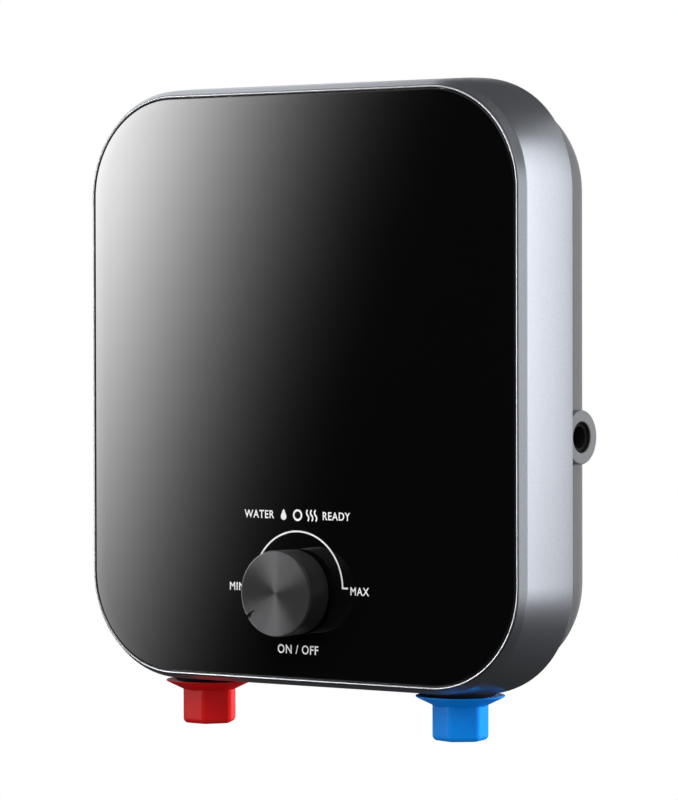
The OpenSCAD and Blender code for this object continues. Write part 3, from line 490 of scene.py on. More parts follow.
class Shape:
    """A mesh that is being built with bmesh operators."""

    def __init__(self) -> None:
        """Start an empty mesh whose vertices remember their corner of a profile."""
        self.bm = bmesh.new()
        self.tag = self.bm.verts.layers.int.new("profile_corner")

    def profile(self, corners: Sequence[Corner], place: Matrix, closed: bool) -> list:
        """Draw a profile as a chain of edges.

        Args:
            corners: Corners in order.
            place: Turns (out, depth, 0) into a point.
            closed: Whether the last corner joins the first.

        Returns:
            The new vertices and edges.
        """
        points = []
        for index, corner in enumerate(corners):
            vert = self.bm.verts.new(place @ Vector((corner.out, corner.depth, 0)))
            vert[self.tag] = index + 1
            points.append(vert)
        ends = points[1:] + points[:1] if closed else points[1:]
        return points + [self.bm.edges.new(pair) for pair in zip(points, ends)]

    def pull(self, chain: list, move: Vector) -> list:
        """Extrude a chain of edges along a straight line.

        Args:
            chain: Vertices and edges of the chain.
            move: Length and direction.

        Returns:
            The vertices and edges at the far end.
        """
        made = bmesh.ops.extrude_edge_only(self.bm, edges=edges_in(chain))["geom"]
        points = verts_in(made)
        bmesh.ops.translate(self.bm, verts=points, vec=move)
        far = set(points)
        return points + [edge for edge in edges_in(made) if set(edge.verts) <= far]

    def turn(self, chain: list, centre: Vector, axis: Vector, angle: float, steps: int) -> list:
        """Spin a chain of edges round an axis.

        Args:
            chain: Vertices and edges of the chain.
            centre: Point on the axis.
            axis: Direction of the axis.
            angle: Angle in radians; a full turn closes on itself.
            steps: Faces round the turn.

        Returns:
            The vertices and edges at the far end.
        """
        full = math.isclose(angle, TAU)
        return bmesh.ops.spin(self.bm, geom=chain, cent=centre, axis=axis, angle=angle, steps=steps,
                              use_merge=full, use_duplicate=False)["geom_last"]

    def circle(self, centre: Vector, radius: float, filled: bool = False) -> list[bmesh.types.BMVert]:
        """Draw a circle that faces the front.

        Args:
            centre: Middle of the circle.
            radius: Its radius.
            filled: Whether it is a disc.

        Returns:
            Its vertices.
        """
        place = Matrix.Translation(centre) @ Matrix.Rotation(math.pi / 2, 4, "X")
        return bmesh.ops.create_circle(self.bm, cap_ends=filled, segments=CIRCLE_STEPS, radius=radius,
                                       matrix=place)["verts"]

    def close(self) -> None:
        """Merge doubles and turn all faces outwards."""
        bmesh.ops.remove_doubles(self.bm, verts=self.bm.verts, dist=WELD_DIST)
        bmesh.ops.recalc_face_normals(self.bm, faces=self.bm.faces)

    def soften(self, corners: Sequence[Corner]) -> None:
        """Round the swept edges of a profile's corners.

        Args:
            corners: The corners that the profile was drawn with.
        """
        for index, corner in enumerate(corners):
            if corner.round > 0:
                self.bevel(self.loop_at(index), corner.round, corner.steps)

    def bevel(self, edges: Iterable[bmesh.types.BMEdge], offset: float, steps: int) -> None:
        """Round edges.

        Args:
            edges: Edges to round.
            offset: How far back from the edge the rounding starts.
            steps: Faces across the rounding.
        """
        made = bmesh.ops.bevel(self.bm, geom=list(edges), offset=offset, offset_type="OFFSET", segments=steps,
                               profile=0.5, affect="EDGES", material=-1, clamp_overlap=True)
        for vert in made["verts"]:
            vert[self.tag] = 0

    def loop_at(self, index: int) -> list[bmesh.types.BMEdge]:
        """Give the swept edges of one corner of the profile."""
        return [e for e in self.bm.edges if {v[self.tag] for v in e.verts} == {index + 1}]

    def link(self, name: str, material: Material) -> Thing:
        """Turn the mesh into an object of the scene.

        Args:
            name: Name of the object.
            material: Its material.

        Returns:
            The new object.
        """
        mesh = bpy.data.meshes.new(name)
        self.bm.to_mesh(mesh)
        self.bm.free()
        mesh.materials.append(material)
        thing = bpy.data.objects.new(name, mesh)
        bpy.context.scene.collection.objects.link(thing)
        return thing

    def piece(self, name: str, material: Material, body: Body, slot: str,
              nodes: Sequence[str] = (), sharp: float = 40.0) -> Thing:
        """Turn the mesh into a finished piece of the heater.

        Args:
            name: Name of the piece.
            material: Its material.
            body: Body that it rides on.
            slot: The record's slot that its finish belongs to; not used.
            nodes: Nodes of the frame that it stands for.
            sharp: Angle in degrees above which an edge stays sharp.

        Returns:
            The new piece.
        """
        piece = self.link(name, material)
        piece.data.shade_smooth()
        piece.data.set_sharp_from_angle(angle=math.radians(sharp))
        piece.modifiers.new("even_shading", "WEIGHTED_NORMAL").keep_sharp = True
        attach(piece, body.value)
        if nodes:
            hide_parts(*nodes)
        return piece


def lathe(corners: Sequence[Corner], centre: Vector, axis: Vector, steps: int, closed: bool = True,
          start: Vector | None = None, angle: float = TAU) -> Shape:
    """Turn a profile of (radius, place along the axis) into a round shape.

    Args:
        corners: Corners of the profile.
        centre: Point on the axis from which places are measured.
        axis: Direction of the axis.
        steps: Faces round the turn.
        closed: Whether the profile is a closed wall.
        start: Direction from the axis in which the turn starts, or None for any.
        angle: Angle of the turn, in radians.

    Returns:
        The round shape.
    """
    across = axis.orthogonal().normalized() if start is None else start
    frame_of_axis = Matrix((across, axis, across.cross(axis))).transposed().to_4x4()
    shape = Shape()
    chain = shape.profile(corners, Matrix.Translation(centre) @ frame_of_axis, closed)
    shape.turn(chain, centre, axis, angle, steps)
    shape.close()
    shape.soften(corners)
    return shape


def middle(node: str) -> Vector:
    """Give the middle of a node's box."""
    low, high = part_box(node)
    return (low + high) / 2


@dataclass
class SubAssembly:
    """A group of pieces that are built together.

    Attributes:
        looks: Materials by the name of their finish.
    """

    looks: dict[str, Material]

    def build(self) -> list[Thing]:
        """Build the pieces of the group."""
        raise NotImplementedError


@dataclass
class Housing(SubAssembly):
    """Front glass and silver shell, swept round the rounded rectangle of the front.

    Attributes:
        corner_r: Corner radius of the glass.
        bevel: Width of the polished bevel of the glass.
        bevel_round: Rounding of the bevel's edges.
        gap: Gap between the glass and the lip of the shell.
        lip_w: Width of the rounded lip.
        lip_round: Rounding of the lip, as a share of half its width.
        chamfer_w: Width of the chamfer outside the lip.
        chamfer_d: Depth of the chamfer.
        flare: How far the side flares outwards on its way to the wall.
        belly: How far the side bulges beyond a straight line.
        belly_span: Share of the side over which the bulge is rounded.
        fullness: How far the corners of the shell's rim stand beyond a circle.
        edge_round: Rounding of the shell's outer edges.
        inner_round: Rounding of the inner edge of the shell's rim.
        wall: Wall thickness.
        tape_t: Thickness of the bonding tape behind the glass.
        panel_in: Distance inwards from the glass edge at which the flat panel starts.
        shaft_hole_r: Radius of the shaft hole in the glass.
        bush_hole_r: Radius of the hole for the control's bush in the panel.
        led_hole_r: Radius of the indicator hole in glass and panel.
        corner_steps: Faces round each corner.
    """

    corner_r: float = 45.5 * MM
    bevel: float = 0.4 * MM
    bevel_round: float = 0.15 * MM
    gap: float = 0.2 * MM
    lip_w: float = 1.5 * MM
    lip_round: float = 0.95
    chamfer_w: float = 2.0 * MM
    chamfer_d: float = 4.4 * MM
    flare: float = 2.4 * MM
    belly: float = 0.9 * MM
    belly_span: float = 0.85
    fullness: float = 1.1 * MM
    edge_round: float = 0.5 * MM
    inner_round: float = 0.3 * MM
    wall: float = 2.5 * MM
    tape_t: float = 0.8 * MM
    panel_in: float = 6.0 * MM
    shaft_hole_r: float = 9.0 * MM
    bush_hole_r: float = 5.15 * MM
    led_hole_r: float = 2.7 * MM
    corner_steps: int = 28

    def __post_init__(self) -> None:
        """Take the place of glass and shell from the frame."""
        low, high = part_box("front_glass")
        self.half_w, self.half_h = high.x, high.z
        self.front, self.glass_back = low.y, high.y
        self.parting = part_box("front_shell")[1].y
        self.knob = middle("knob_body")
        self.led = middle("led_window")

    def build(self) -> list[Thing]:
        """Build glass, lip and shell."""
        return [self.build_glass(), self.build_lip(), self.build_shell()]

    def sweep(self, corners: Sequence[Corner], closed: bool = False) -> Shape:
        """Carry a profile round the rounded rectangle.

        Args:
            corners: Corners of the profile, from the edge of the glass.
            closed: Whether the profile is closed.

        Returns:
            The swept shape, with its rounded corners.
        """
        a, b = self.half_w - self.corner_r, self.half_h - self.corner_r
        shape = Shape()
        chain = shape.profile(corners, Matrix.Translation((self.half_w, 0, -b)), closed)
        before = Vector((a, 0, -b))
        for x, z in ((a, b), (-a, b), (-a, -b), (a, -b)):
            centre = Vector((x, 0, z))
            chain = shape.pull(chain, centre - before)
            chain = shape.turn(chain, centre, Vector((0, -1, 0)), math.pi / 2, self.corner_steps)
            before = centre
        shape.close()
        shape.soften(corners)
        return shape

    def fill(self, shape: Shape, corners: Sequence[Corner], shaft_r: float) -> None:
        """Fill the middle of a swept plate, with holes for the shaft and the indicator.

        Args:
            shape: The swept plate.
            corners: The corners of its profile, from the front of the plate to its back.
            shaft_r: Radius of the hole for the shaft.
        """
        front, back = shape.loop_at(0), shape.loop_at(len(corners) - 1)
        start, end = corners[0].depth, corners[-1].depth
        for centre, radius in ((self.knob, shaft_r), (self.led, self.led_hole_r)):
            rim = shape.circle(Vector((centre.x, start, centre.z)), radius)
            edges = list({e for v in rim for e in v.link_edges})
            front += edges
            back += edges_in(shape.pull(rim + edges, Vector((0, end - start, 0))))
        for loops in (front, back):
            bmesh.ops.triangle_fill(shape.bm, use_beauty=True, use_dissolve=False, edges=loops)
        shape.close()

    def fill_out(self, shape: Shape, start: float, end: float) -> None:
        """Push the corners of a swept shape outwards, more so towards its rim.

        Args:
            shape: The swept shape.
            start: Distance from the edge of the glass up to which nothing moves.
            end: Distance from the edge of the glass at which the push is full.
        """
        middle_of_corner = Vector((self.half_w - self.corner_r, self.half_h - self.corner_r))
        for vert in shape.bm.verts:
            arm = Vector((abs(vert.co.x), abs(vert.co.z))) - middle_of_corner
            share = (arm.length - self.corner_r - start) / (end - start)
            if min(arm) > 0 and share > 0:
                push = self.fullness * min(share, 1) * (2 * arm.x * arm.y / arm.length_squared) ** 2
                place = middle_of_corner + arm * (1 + push / arm.length)
                vert.co.x = math.copysign(place.x, vert.co.x)
                vert.co.z = math.copysign(place.y, vert.co.z)

    def build_glass(self) -> Thing:
        """Build the glass: bevelled plate with the shaft hole and the indicator hole.

        Returns:
            The new piece.
        """
        corners = (
            Corner(-self.panel_in, self.front),
            Corner(-self.bevel, self.front, self.bevel_round, 3),
            Corner(0, self.front + self.bevel, self.bevel_round, 3),
            Corner(0, self.glass_back),
            Corner(-self.panel_in, self.glass_back),
        )
        shape = self.sweep(corners)
        self.fill(shape, corners, self.shaft_hole_r)
        return shape.piece("glass_front", self.looks["black_glass"], Body.HOUSING, "black_glass",
                           ("front_glass",), sharp=20.0)

    def build_lip(self) -> Thing:
        """Build the rounded lip between the glass and the chamfer.

        Returns:
            The new piece.
        """
        lip = self.gap + self.lip_w
        half_lip = self.lip_w / 2
        seat = self.front + half_lip
        corners = (
            Corner(lip, seat),
            Corner(lip, self.front, half_lip * self.lip_round, 5),
            Corner(self.gap, self.front, half_lip * self.lip_round, 5),
            Corner(self.gap, seat),
        )
        shape = self.sweep(corners, True)
        # The lip wears silver paint darkened as painted shade, to dim its mirrored highlight
        return shape.piece("glass_lip", self.looks["lip_shaded_silver"], Body.HOUSING, "silver_paint")

    def build_shell(self) -> Thing:
        """Build the shell: seat of the lip, chamfer, bellied side and the panel behind the glass.

        Returns:
            The new piece.
        """
        lip = self.gap + self.lip_w
        chamfer = lip + self.chamfer_w
        rim = chamfer + self.flare
        seat = self.front + self.lip_w / 2
        chamfer_foot = self.front + self.chamfer_d
        panel = self.glass_back + self.tape_t
        panel_back = panel + self.wall
        side_mid = (chamfer_foot + self.parting) / 2
        side_run = (self.parting - chamfer_foot) / 2
        corners = (
            Corner(-self.panel_in, panel),
            Corner(self.gap, panel),
            Corner(self.gap, seat),
            Corner(lip, seat),
            Corner(chamfer, chamfer_foot, self.edge_round, 4),
            Corner((chamfer + rim) / 2 + self.belly, side_mid, side_run * self.belly_span, 8),
            Corner(rim, self.parting, self.edge_round, 4),
            Corner(rim - self.wall, self.parting, self.inner_round, 2),
            Corner(chamfer - self.wall, panel_back),
            Corner(-self.panel_in, panel_back),
        )
        shape = self.sweep(corners)
        self.fill(shape, corners, self.bush_hole_r)
        self.fill_out(shape, lip, rim)
        return shape.piece("silver_shell", self.looks["silver_paint"], Body.HOUSING, "silver_paint",
                           ("front_shell",))


@dataclass
class Knob(SubAssembly):
    """Push-and-turn knob: a satin cup under a spun metal face.

    Attributes:
        draft: How much smaller the cup is at its foot.
        skin: Wall thickness of the cup.
        hub_r: Radius of the bore for the hub.
        boss_r: Radius of the boss round the hub.
        edge_round: Rounding of the cup's edge at the face.
        inner_round: Rounding of the inner edges of the foot.
        foot_round: Rounding of the foot.
        face_bevel: Width of the bevel round the face.
        rim_in: Distance of the rim's outside from the outside of the face.
        rim_lap: Width by which the rim covers the face inside the bevel.
        rim_t: Thickness of the rim above the face.
        rim_edge: Bevel of the rim's edge.
        notch_angle: Angle of the pointer notch, from +X towards +Z.
        notch_w: Width of the notch.
        steps: Faces round the knob.
    """

    draft: float = 0.3 * MM
    skin: float = 2.0 * MM
    hub_r: float = 5.55 * MM
    boss_r: float = 7.5 * MM
    edge_round: float = 0.12 * MM
    inner_round: float = 0.3 * MM
    foot_round: float = 0.5 * MM
    face_bevel: float = 0.9 * MM
    rim_in: float = 0.2 * MM
    rim_lap: float = 0.3 * MM
    rim_t: float = 0.02 * MM
    rim_edge: float = 0.16 * MM
    notch_angle: float = 215.0
    notch_w: float = 1.8 * MM
    steps: int = 128

    def build(self) -> list[Thing]:
        """Build the cup and the rim of its face."""
        return [self.build_cup(), self.build_rim()]

    def build_cup(self) -> Thing:
        """Build the cup.

        Returns:
            The new piece.
        """
        low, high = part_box("knob_body")
        centre = middle("knob_body")
        radius, height = high.x, high.y - low.y
        foot_r = radius - self.draft
        inside = height - self.skin
        corners = (
            Corner(0, height),
            Corner(radius, height, self.edge_round, 2),
            Corner(foot_r, 0, self.foot_round, 4),
            Corner(foot_r - self.skin, 0, self.inner_round, 2),
            Corner(foot_r - self.skin, inside),
            Corner(self.boss_r, inside),
            Corner(self.boss_r, 0, self.inner_round, 2),
            Corner(self.hub_r, 0),
            Corner(self.hub_r, inside),
            Corner(0, inside),
        )
        foot = Vector((centre.x, high.y, centre.z))
        shape = lathe(corners, foot, Vector((0, -1, 0)), self.steps, False)
        return shape.piece("knob_cup", self.looks["knob_plastic"], Body.KNOB, "knob_plastic",
                           ("knob_body",))

    def build_rim(self) -> Thing:
        """Build the rim that carries the spun face out to its crisp edge, open at the pointer notch.

        Returns:
            The new piece.
        """
        low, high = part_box("knob_face")
        centre = middle("knob_face")
        inner, outer = high.x - self.face_bevel - self.rim_lap, high.x - self.rim_in
        corners = (
            Corner(inner, self.rim_t),
            Corner(outer, self.rim_t, self.rim_edge, 2),
            Corner(outer, -self.face_bevel),
            Corner(outer - self.rim_lap, -self.face_bevel),
            Corner(inner, -self.rim_t),
        )
        gap = self.notch_w / outer
        begin = math.radians(self.notch_angle) + gap / 2
        shape = lathe(corners, Vector((centre.x, low.y, centre.z)), Vector((0, -1, 0)), self.steps,
                      start=Vector((math.cos(begin), 0, math.sin(begin))), angle=TAU - gap)
        bmesh.ops.edgeloop_fill(shape.bm, edges=[e for e in shape.bm.edges if e.is_boundary])
        shape.close()
        return shape.piece("knob_rim", self.looks["spun_metal"], Body.KNOB, "spun_metal")


@dataclass
class WaterStub(SubAssembly):
    """Collar round a water stub and the transport cap on it.

    Attributes:
        side: "cold" or "hot", the side that names collar and cap.
        collar_node: Node of the collar.
        cap_slot: Slot of the cap's finish.
        body: Body of the cap.
        turn: Angle of one corner of the hexagon round the stub, in degrees from +X towards +Y.
        collar_r: Radius of the collar.
        collar_lip_t: Thickness of the flange inside the housing.
        collar_round: Rounding of the collar's foot.
        stub_clear_r: Radius of the bore of collar and cap.
        across_flats: Width of the hexagon across its flats.
        flange_h: Height of the conical flange.
        rim_t: Thickness of the flange at its rim.
        rim_round: Rounding of the flange's rim.
        neck_in: Distance of the wall inside the hexagon from its flats.
        hex_in: Depth of the hexagon's top below the rim, in depths of the dish.
        lift: Height by which the dished rim stands above the top of the bore.
        dish: Depth of the groove in the top of the flange.
        bead: Width of the bead between the bore and that groove.
        edge_round: Rounding of the upright edges of the hexagon.
        foot_round: Rounding of the hexagon's foot.
        floor_t: Thickness of the cap's floor.
        round_steps: Faces across the roundings of the hexagon.
        level: Tolerance within which an edge counts as lying on the foot.
        steps: Faces round the round shapes.
    """

    side: str
    collar_node: str
    cap_slot: str
    body: Body
    turn: float
    collar_r: float = 16.6 * MM
    collar_lip_t: float = 3.0 * MM
    collar_round: float = 2.4 * MM
    stub_clear_r: float = 10.63 * MM
    across_flats: float = 23.0 * MM
    flange_h: float = 5.2 * MM
    rim_t: float = 0.7 * MM
    rim_round: float = 0.25 * MM
    neck_in: float = 0.6 * MM
    hex_in: float = 1.5
    lift: float = 0.85 * MM
    dish: float = 1.9 * MM
    bead: float = 1.2 * MM
    edge_round: float = 2.0 * MM
    foot_round: float = 2.4 * MM
    floor_t: float = 2.0 * MM
    round_steps: int = 5
    level: float = 0.01 * MM
    steps: int = 96

    def build(self) -> list[Thing]:
        """Build the collar and the cap."""
        return [self.build_collar(), self.build_cap()]

    def build_collar(self) -> Thing:
        """Build the collar with its rounded foot.

        Returns:
            The new piece.
        """
        low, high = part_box(self.collar_node)
        centre = middle(self.collar_node)
        flange_r, height = (high.x - low.x) / 2, high.z - low.z
        corners = (
            Corner(self.stub_clear_r, height),
            Corner(self.collar_r, height, self.collar_round, 8),
            Corner(self.collar_r, self.collar_lip_t),
            Corner(flange_r, self.collar_lip_t),
            Corner(flange_r, 0),
            Corner(self.stub_clear_r, 0),
        )
        shape = lathe(corners, Vector((centre.x, centre.y, high.z)), Vector((0, 0, -1)), self.steps)
        return shape.piece(f"{self.side}_collar", self.looks["dark_plastic"], Body.HOUSING, "dark_plastic",
                           (self.collar_node,))

    def build_cap(self) -> Thing:
        """Build the cap: a conical flange with the bore, and the hexagon below it.

        Returns:
            The new piece.
        """
        node = f"{self.side}_cap"
        low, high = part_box(node)
        centre = middle(node)
        flange_r, height = (high.x - low.x) / 2, high.z - low.z
        neck_r = self.across_flats / 2 - self.neck_in
        inside, floor_mid = height - self.floor_t, height - self.floor_t / 2
        corners = (
            Corner(0, inside),
            Corner(self.stub_clear_r, inside),
            Corner(self.stub_clear_r, self.lift),
            Corner(self.stub_clear_r + self.bead, self.lift),
            Corner(self.stub_clear_r + 2 * self.bead, self.dish),
            Corner(flange_r, 0, self.rim_round, 2),
            Corner(flange_r, self.rim_t, self.rim_round, 2),
            Corner(neck_r, self.flange_h),
            Corner(neck_r, floor_mid),
            Corner(0, floor_mid),
        )
        rim_z = high.z + self.lift
        shape = lathe(corners, Vector((centre.x, centre.y, rim_z)), Vector((0, 0, -1)), self.steps, False)
        top, foot = rim_z - self.rim_t - self.dish * self.hex_in, low.z + self.lift
        corner_r = self.across_flats / 2 / math.cos(math.pi / 6)
        place = (Matrix.Translation((centre.x, centre.y, (top + foot) / 2))
                 @ Matrix.Rotation(math.radians(self.turn - 90), 4, "Z"))
        made = bmesh.ops.create_cone(shape.bm, cap_ends=True, segments=6, radius1=corner_r, radius2=corner_r,
                                     depth=top - foot, matrix=place)["verts"]
        edges = {e for v in made for e in v.link_edges}
        upright = [e for e in edges if abs(e.verts[0].co.z - e.verts[1].co.z) > self.floor_t]
        shape.bevel(upright, self.edge_round, self.round_steps)
        lowest = [e for e in shape.bm.edges if max(v.co.z for v in e.verts) < foot + self.level]
        shape.bevel(lowest, self.foot_round, self.round_steps)
        return shape.piece(f"{self.side}_water_cap", self.looks[self.cap_slot], self.body, self.cap_slot,
                           (node,))


@dataclass
class CableGland(SubAssembly):
    """Round cable entry in the right side of the rear cover.

    Attributes:
        flange_r: Radius of the flange outside the cover.
        flange_t: Thickness of the flange.
        neck_r: Radius of the neck through the cover.
        hole_r: Radius of the opening.
        edge: Rounding of the flange.
        heel: Rounding of the flange where it meets the cover.
        mouth: Rounding of the opening.
        lip_r: Inner radius of the grommet's lip, a black lining that is also painted shade inside the
            opening.
        lip_in: Distance of that lip from the front of the flange.
        lip_len: Length of that lip.
        lip_round: Rounding of that lip.
        steps: Faces round the gland.
    """

    flange_r: float = 12.2 * MM
    flange_t: float = 4.0 * MM
    neck_r: float = 8.8 * MM
    hole_r: float = 7.0 * MM
    edge: float = 0.7 * MM
    heel: float = 0.2 * MM
    mouth: float = 0.5 * MM
    lip_r: float = 6.7 * MM
    lip_in: float = 0.35 * MM
    lip_len: float = 2.0 * MM
    lip_round: float = 0.1 * MM
    steps: int = 96

    def build(self) -> list[Thing]:
        """Build the gland and the lip of the rubber grommet that lines its opening, whose black also paints
        the shade inside the opening.

        Returns:
            The new pieces.
        """
        low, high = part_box("cable_gland")
        centre = middle("cable_gland")
        axis = Vector((1, 0, 0))
        length = high.x - low.x
        corners = (
            Corner(self.hole_r, 0),
            Corner(self.neck_r, 0),
            Corner(self.neck_r, length - self.flange_t),
            Corner(self.flange_r, length - self.flange_t, self.heel, 2),
            Corner(self.flange_r, length, self.edge, 5),
            Corner(self.hole_r, length, self.mouth, 4),
        )
        shape = lathe(corners, Vector((low.x, centre.y, centre.z)), axis, self.steps)
        gland = shape.piece("side_gland", self.looks["gland_plastic"], Body.HOUSING, "grey_plastic",
                            ("cable_gland",))
        # Black lining of the opening: the grommet's lip, and painted shade inside the opening
        lip_corners = (
            Corner(self.lip_r, 0, self.lip_round, 2),
            Corner(self.hole_r, 0),
            Corner(self.hole_r, -self.lip_len),
            Corner(self.lip_r, -self.lip_len),
        )
        lip = lathe(lip_corners, Vector((high.x - self.lip_in, centre.y, centre.z)), axis, self.steps)
        return [gland, lip.piece("grommet_lip_and_shade", self.looks["black_rubber"], Body.HOUSING, "black_rubber")]


@dataclass
class GlassPrint(SubAssembly):
    """White marks printed on the glass round the knob and the indicator.

    Attributes:
        ink_t: Thickness of the ink.
        line_w: Width of drawn lines.
        arc_r: Radius of the arc above the knob.
        arc_rise: How far the arc's centre lies above the knob's.
        tick: Length of the ticks at the ends of the arc.
        ring_r: Mean radius of the ring round the indicator.
        ring_w: Width of that ring.
        word_h: Height of the words beside the arc.
        word_x: Distance of the middle of those words from the knob's axis.
        word_drop: How far the middle of those words lies below the arc's ends, as a share of their height.
        switch_h: Height of the words below the knob.
        switch_drop: Distance of the foot of those words below the knob's axis.
        sign_x: Distance of the signs from the indicator.
        sign_h: Height of the signs.
        drop_r: Radius of the drop, as a share of the signs' height.
        drop_tip: How far the tip of the drop is drawn out, as a share of its radius.
        drop_slim: Share by which the drop narrows towards its tip.
        wave_gap: Distance of the heat waves, as a share of the signs' height.
        wave_bend: Half of the angle of each bend of a heat wave, in degrees.
        note_x: Distance of the middle of the words beside the signs from the indicator.
        boldness: Thickening of the letters, as a share of their size.
        narrow: Width of the letters, as a share of the font's own.
        spacing: Distance of the letters, as a share of the font's own.
        face_angle: Angle of one face of a curved line, in degrees.
        fewest_faces: Fewest faces along a curved line.
    """

    ink_t: float = 0.04 * MM
    line_w: float = 0.8 * MM
    arc_r: float = 25.4 * MM
    arc_rise: float = 2.1 * MM
    tick: float = 2.6 * MM
    ring_r: float = 2.2 * MM
    ring_w: float = 0.95 * MM
    word_h: float = 3.7 * MM
    word_x: float = 35.0 * MM
    word_drop: float = 0.2
    switch_h: float = 4.1 * MM
    switch_drop: float = 28.4 * MM
    sign_x: float = 8.0 * MM
    sign_h: float = 5.0 * MM
    drop_r: float = 0.32
    drop_tip: float = 1.1
    drop_slim: float = 0.3
    wave_gap: float = 0.45
    wave_bend: float = 50.0
    note_x: float = 22.0 * MM
    boldness: float = 0.016
    narrow: float = 0.9
    spacing: float = 1.12
    face_angle: float = 3.0
    fewest_faces: int = 8

    def __post_init__(self) -> None:
        """Take the place of glass, knob and indicator from the frame."""
        self.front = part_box("front_glass")[0].y
        self.knob = middle("knob_body")
        self.led = middle("led_window")

    def at(self, x: float, z: float) -> Vector:
        """Give a point on the front of the glass."""
        return Vector((x, self.front, z))

    def band(self, shape: Shape, centre: Vector, radius: float, start: float, sweep: float,
             width: float) -> None:
        """Draw a curved line.

        Args:
            shape: Shape that gets the line.
            centre: Centre of the curve.
            radius: Radius of the middle of the line.
            start: Angle at which it starts, in degrees from +X towards +Z.
            sweep: Angle that it covers, in degrees.
            width: Width of the line.
        """
        ray = Vector((math.cos(math.radians(start)), 0, math.sin(math.radians(start))))
        ends = [shape.bm.verts.new(centre + ray * r) for r in (radius - width / 2, radius + width / 2)]
        steps = max(self.fewest_faces, round(abs(sweep) / self.face_angle))
        shape.turn([*ends, shape.bm.edges.new(ends)], centre, Vector((0, -1, 0)), math.radians(sweep), steps)

    def bar(self, shape: Shape, low: Vector, high: Vector) -> None:
        """Draw an upright rectangle between two corners."""
        ends = [shape.bm.verts.new(p) for p in (low, self.at(high.x, low.z))]
        shape.pull([*ends, shape.bm.edges.new(ends)], self.at(0, high.z) - self.at(0, low.z))

    def word(self, shape: Shape, text: str, centre: Vector, height: float) -> None:
        """Set a word.

        Args:
            shape: Shape that gets the letters.
            text: The word.
            centre: Middle of the word.
            height: Height of its letters.
        """
        curve = bpy.data.curves.new(text, "FONT")
        curve.body = text
        curve.offset = self.boldness
        curve.space_character = self.spacing
        letters = bpy.data.objects.new(text, curve)
        mesh = bpy.data.meshes.new_from_object(letters)
        low = Vector(min(v.co[i] for v in mesh.vertices) for i in range(3))
        high = Vector(max(v.co[i] for v in mesh.vertices) for i in range(3))
        size = height / (high.y - low.y)
        mesh.transform(Matrix.Translation(centre) @ Matrix.Rotation(math.pi / 2, 4, "X")
                       @ Matrix.Diagonal((size * self.narrow, size, size, 1))
                       @ Matrix.Translation(-(low + high) / 2))
        shape.bm.from_mesh(mesh)
        bpy.data.objects.remove(letters)
        bpy.data.curves.remove(curve)
        bpy.data.meshes.remove(mesh)

    def drop_sign(self, shape: Shape, centre: Vector) -> None:
        """Draw a filled drop of water.

        Args:
            shape: Shape that gets the sign.
            centre: Middle of the sign.
        """
        radius = self.sign_h * self.drop_r
        belly = centre - Vector((0, 0, radius / 2))
        for vert in shape.circle(belly, radius, True):
            rise = max(0.0, (vert.co.z - belly.z) / radius)
            vert.co.z += radius * self.drop_tip * rise ** 3
            vert.co.x = centre.x + (vert.co.x - centre.x) * (1 - self.drop_slim * rise ** 2)

    def heat_sign(self, shape: Shape, centre: Vector) -> None:
        """Draw three wavy lines of rising heat.

        Args:
            shape: Shape that gets the sign.
            centre: Middle of the sign.
        """
        bend = self.wave_bend
        quarter = self.sign_h / 4
        bend_r = quarter / math.sin(math.radians(bend))
        offset = bend_r * math.cos(math.radians(bend))
        for step in (-1, 0, 1):
            x = centre.x + step * self.sign_h * self.wave_gap
            for side, start in ((-1, -bend), (1, 180 - bend)):
                hub = self.at(x + side * offset, centre.z + side * quarter)
                self.band(shape, hub, bend_r, start, 2 * bend, self.line_w)

    def ink(self, shape: Shape, name: str) -> Thing:
        """Give flat marks the thickness of the ink and finish them.

        Args:
            shape: The flat marks.
            name: Name of the print.

        Returns:
            The new piece.
        """
        shape.close()
        made = bmesh.ops.extrude_face_region(shape.bm, geom=list(shape.bm.faces), use_keep_orig=True)["geom"]
        bmesh.ops.translate(shape.bm, verts=verts_in(made), vec=Vector((0, -self.ink_t, 0)))
        bmesh.ops.recalc_face_normals(shape.bm, faces=shape.bm.faces)
        return shape.piece(name, self.looks["white_ink"], Body.HOUSING, "white_plastic")

    def build(self) -> list[Thing]:
        """Print the dial and the indicator."""
        return [self.print_dial(), self.print_indicator()]

    def print_dial(self) -> Thing:
        """Print arc, ticks and words round the knob.

        Returns:
            The new piece.
        """
        dial = Shape()
        hub = self.at(self.knob.x, self.knob.z + self.arc_rise)
        self.band(dial, hub, self.arc_r, 0, 180, self.line_w)
        for side in (-1, 1):
            inner = hub.x + side * (self.arc_r + self.line_w / 2)
            ends = sorted((inner, inner + side * self.tick))
            self.bar(dial, self.at(ends[0], hub.z), self.at(ends[1], hub.z + self.line_w))
        for side, text in ((-1, "MIN"), (1, "MAX")):
            place = self.at(hub.x + side * self.word_x, hub.z - self.word_h * self.word_drop)
            self.word(dial, text, place, self.word_h)
        foot = self.knob.z - self.switch_drop + self.switch_h / 2
        self.word(dial, "ON / OFF", self.at(self.knob.x, foot), self.switch_h)
        return self.ink(dial, "dial_print")

    def print_indicator(self) -> Thing:
        """Print ring, signs and words round the indicator.

        Returns:
            The new piece.
        """
        lamp = Shape()
        self.band(lamp, self.at(self.led.x, self.led.z), self.ring_r, 0, 360, self.ring_w)
        self.drop_sign(lamp, self.at(self.led.x - self.sign_x, self.led.z))
        self.heat_sign(lamp, self.at(self.led.x + self.sign_x, self.led.z))
        for side, text in ((-1, "WATER"), (1, "READY")):
            self.word(lamp, text, self.at(self.led.x + side * self.note_x, self.led.z), self.word_h)
        return self.ink(lamp, "indicator_print")


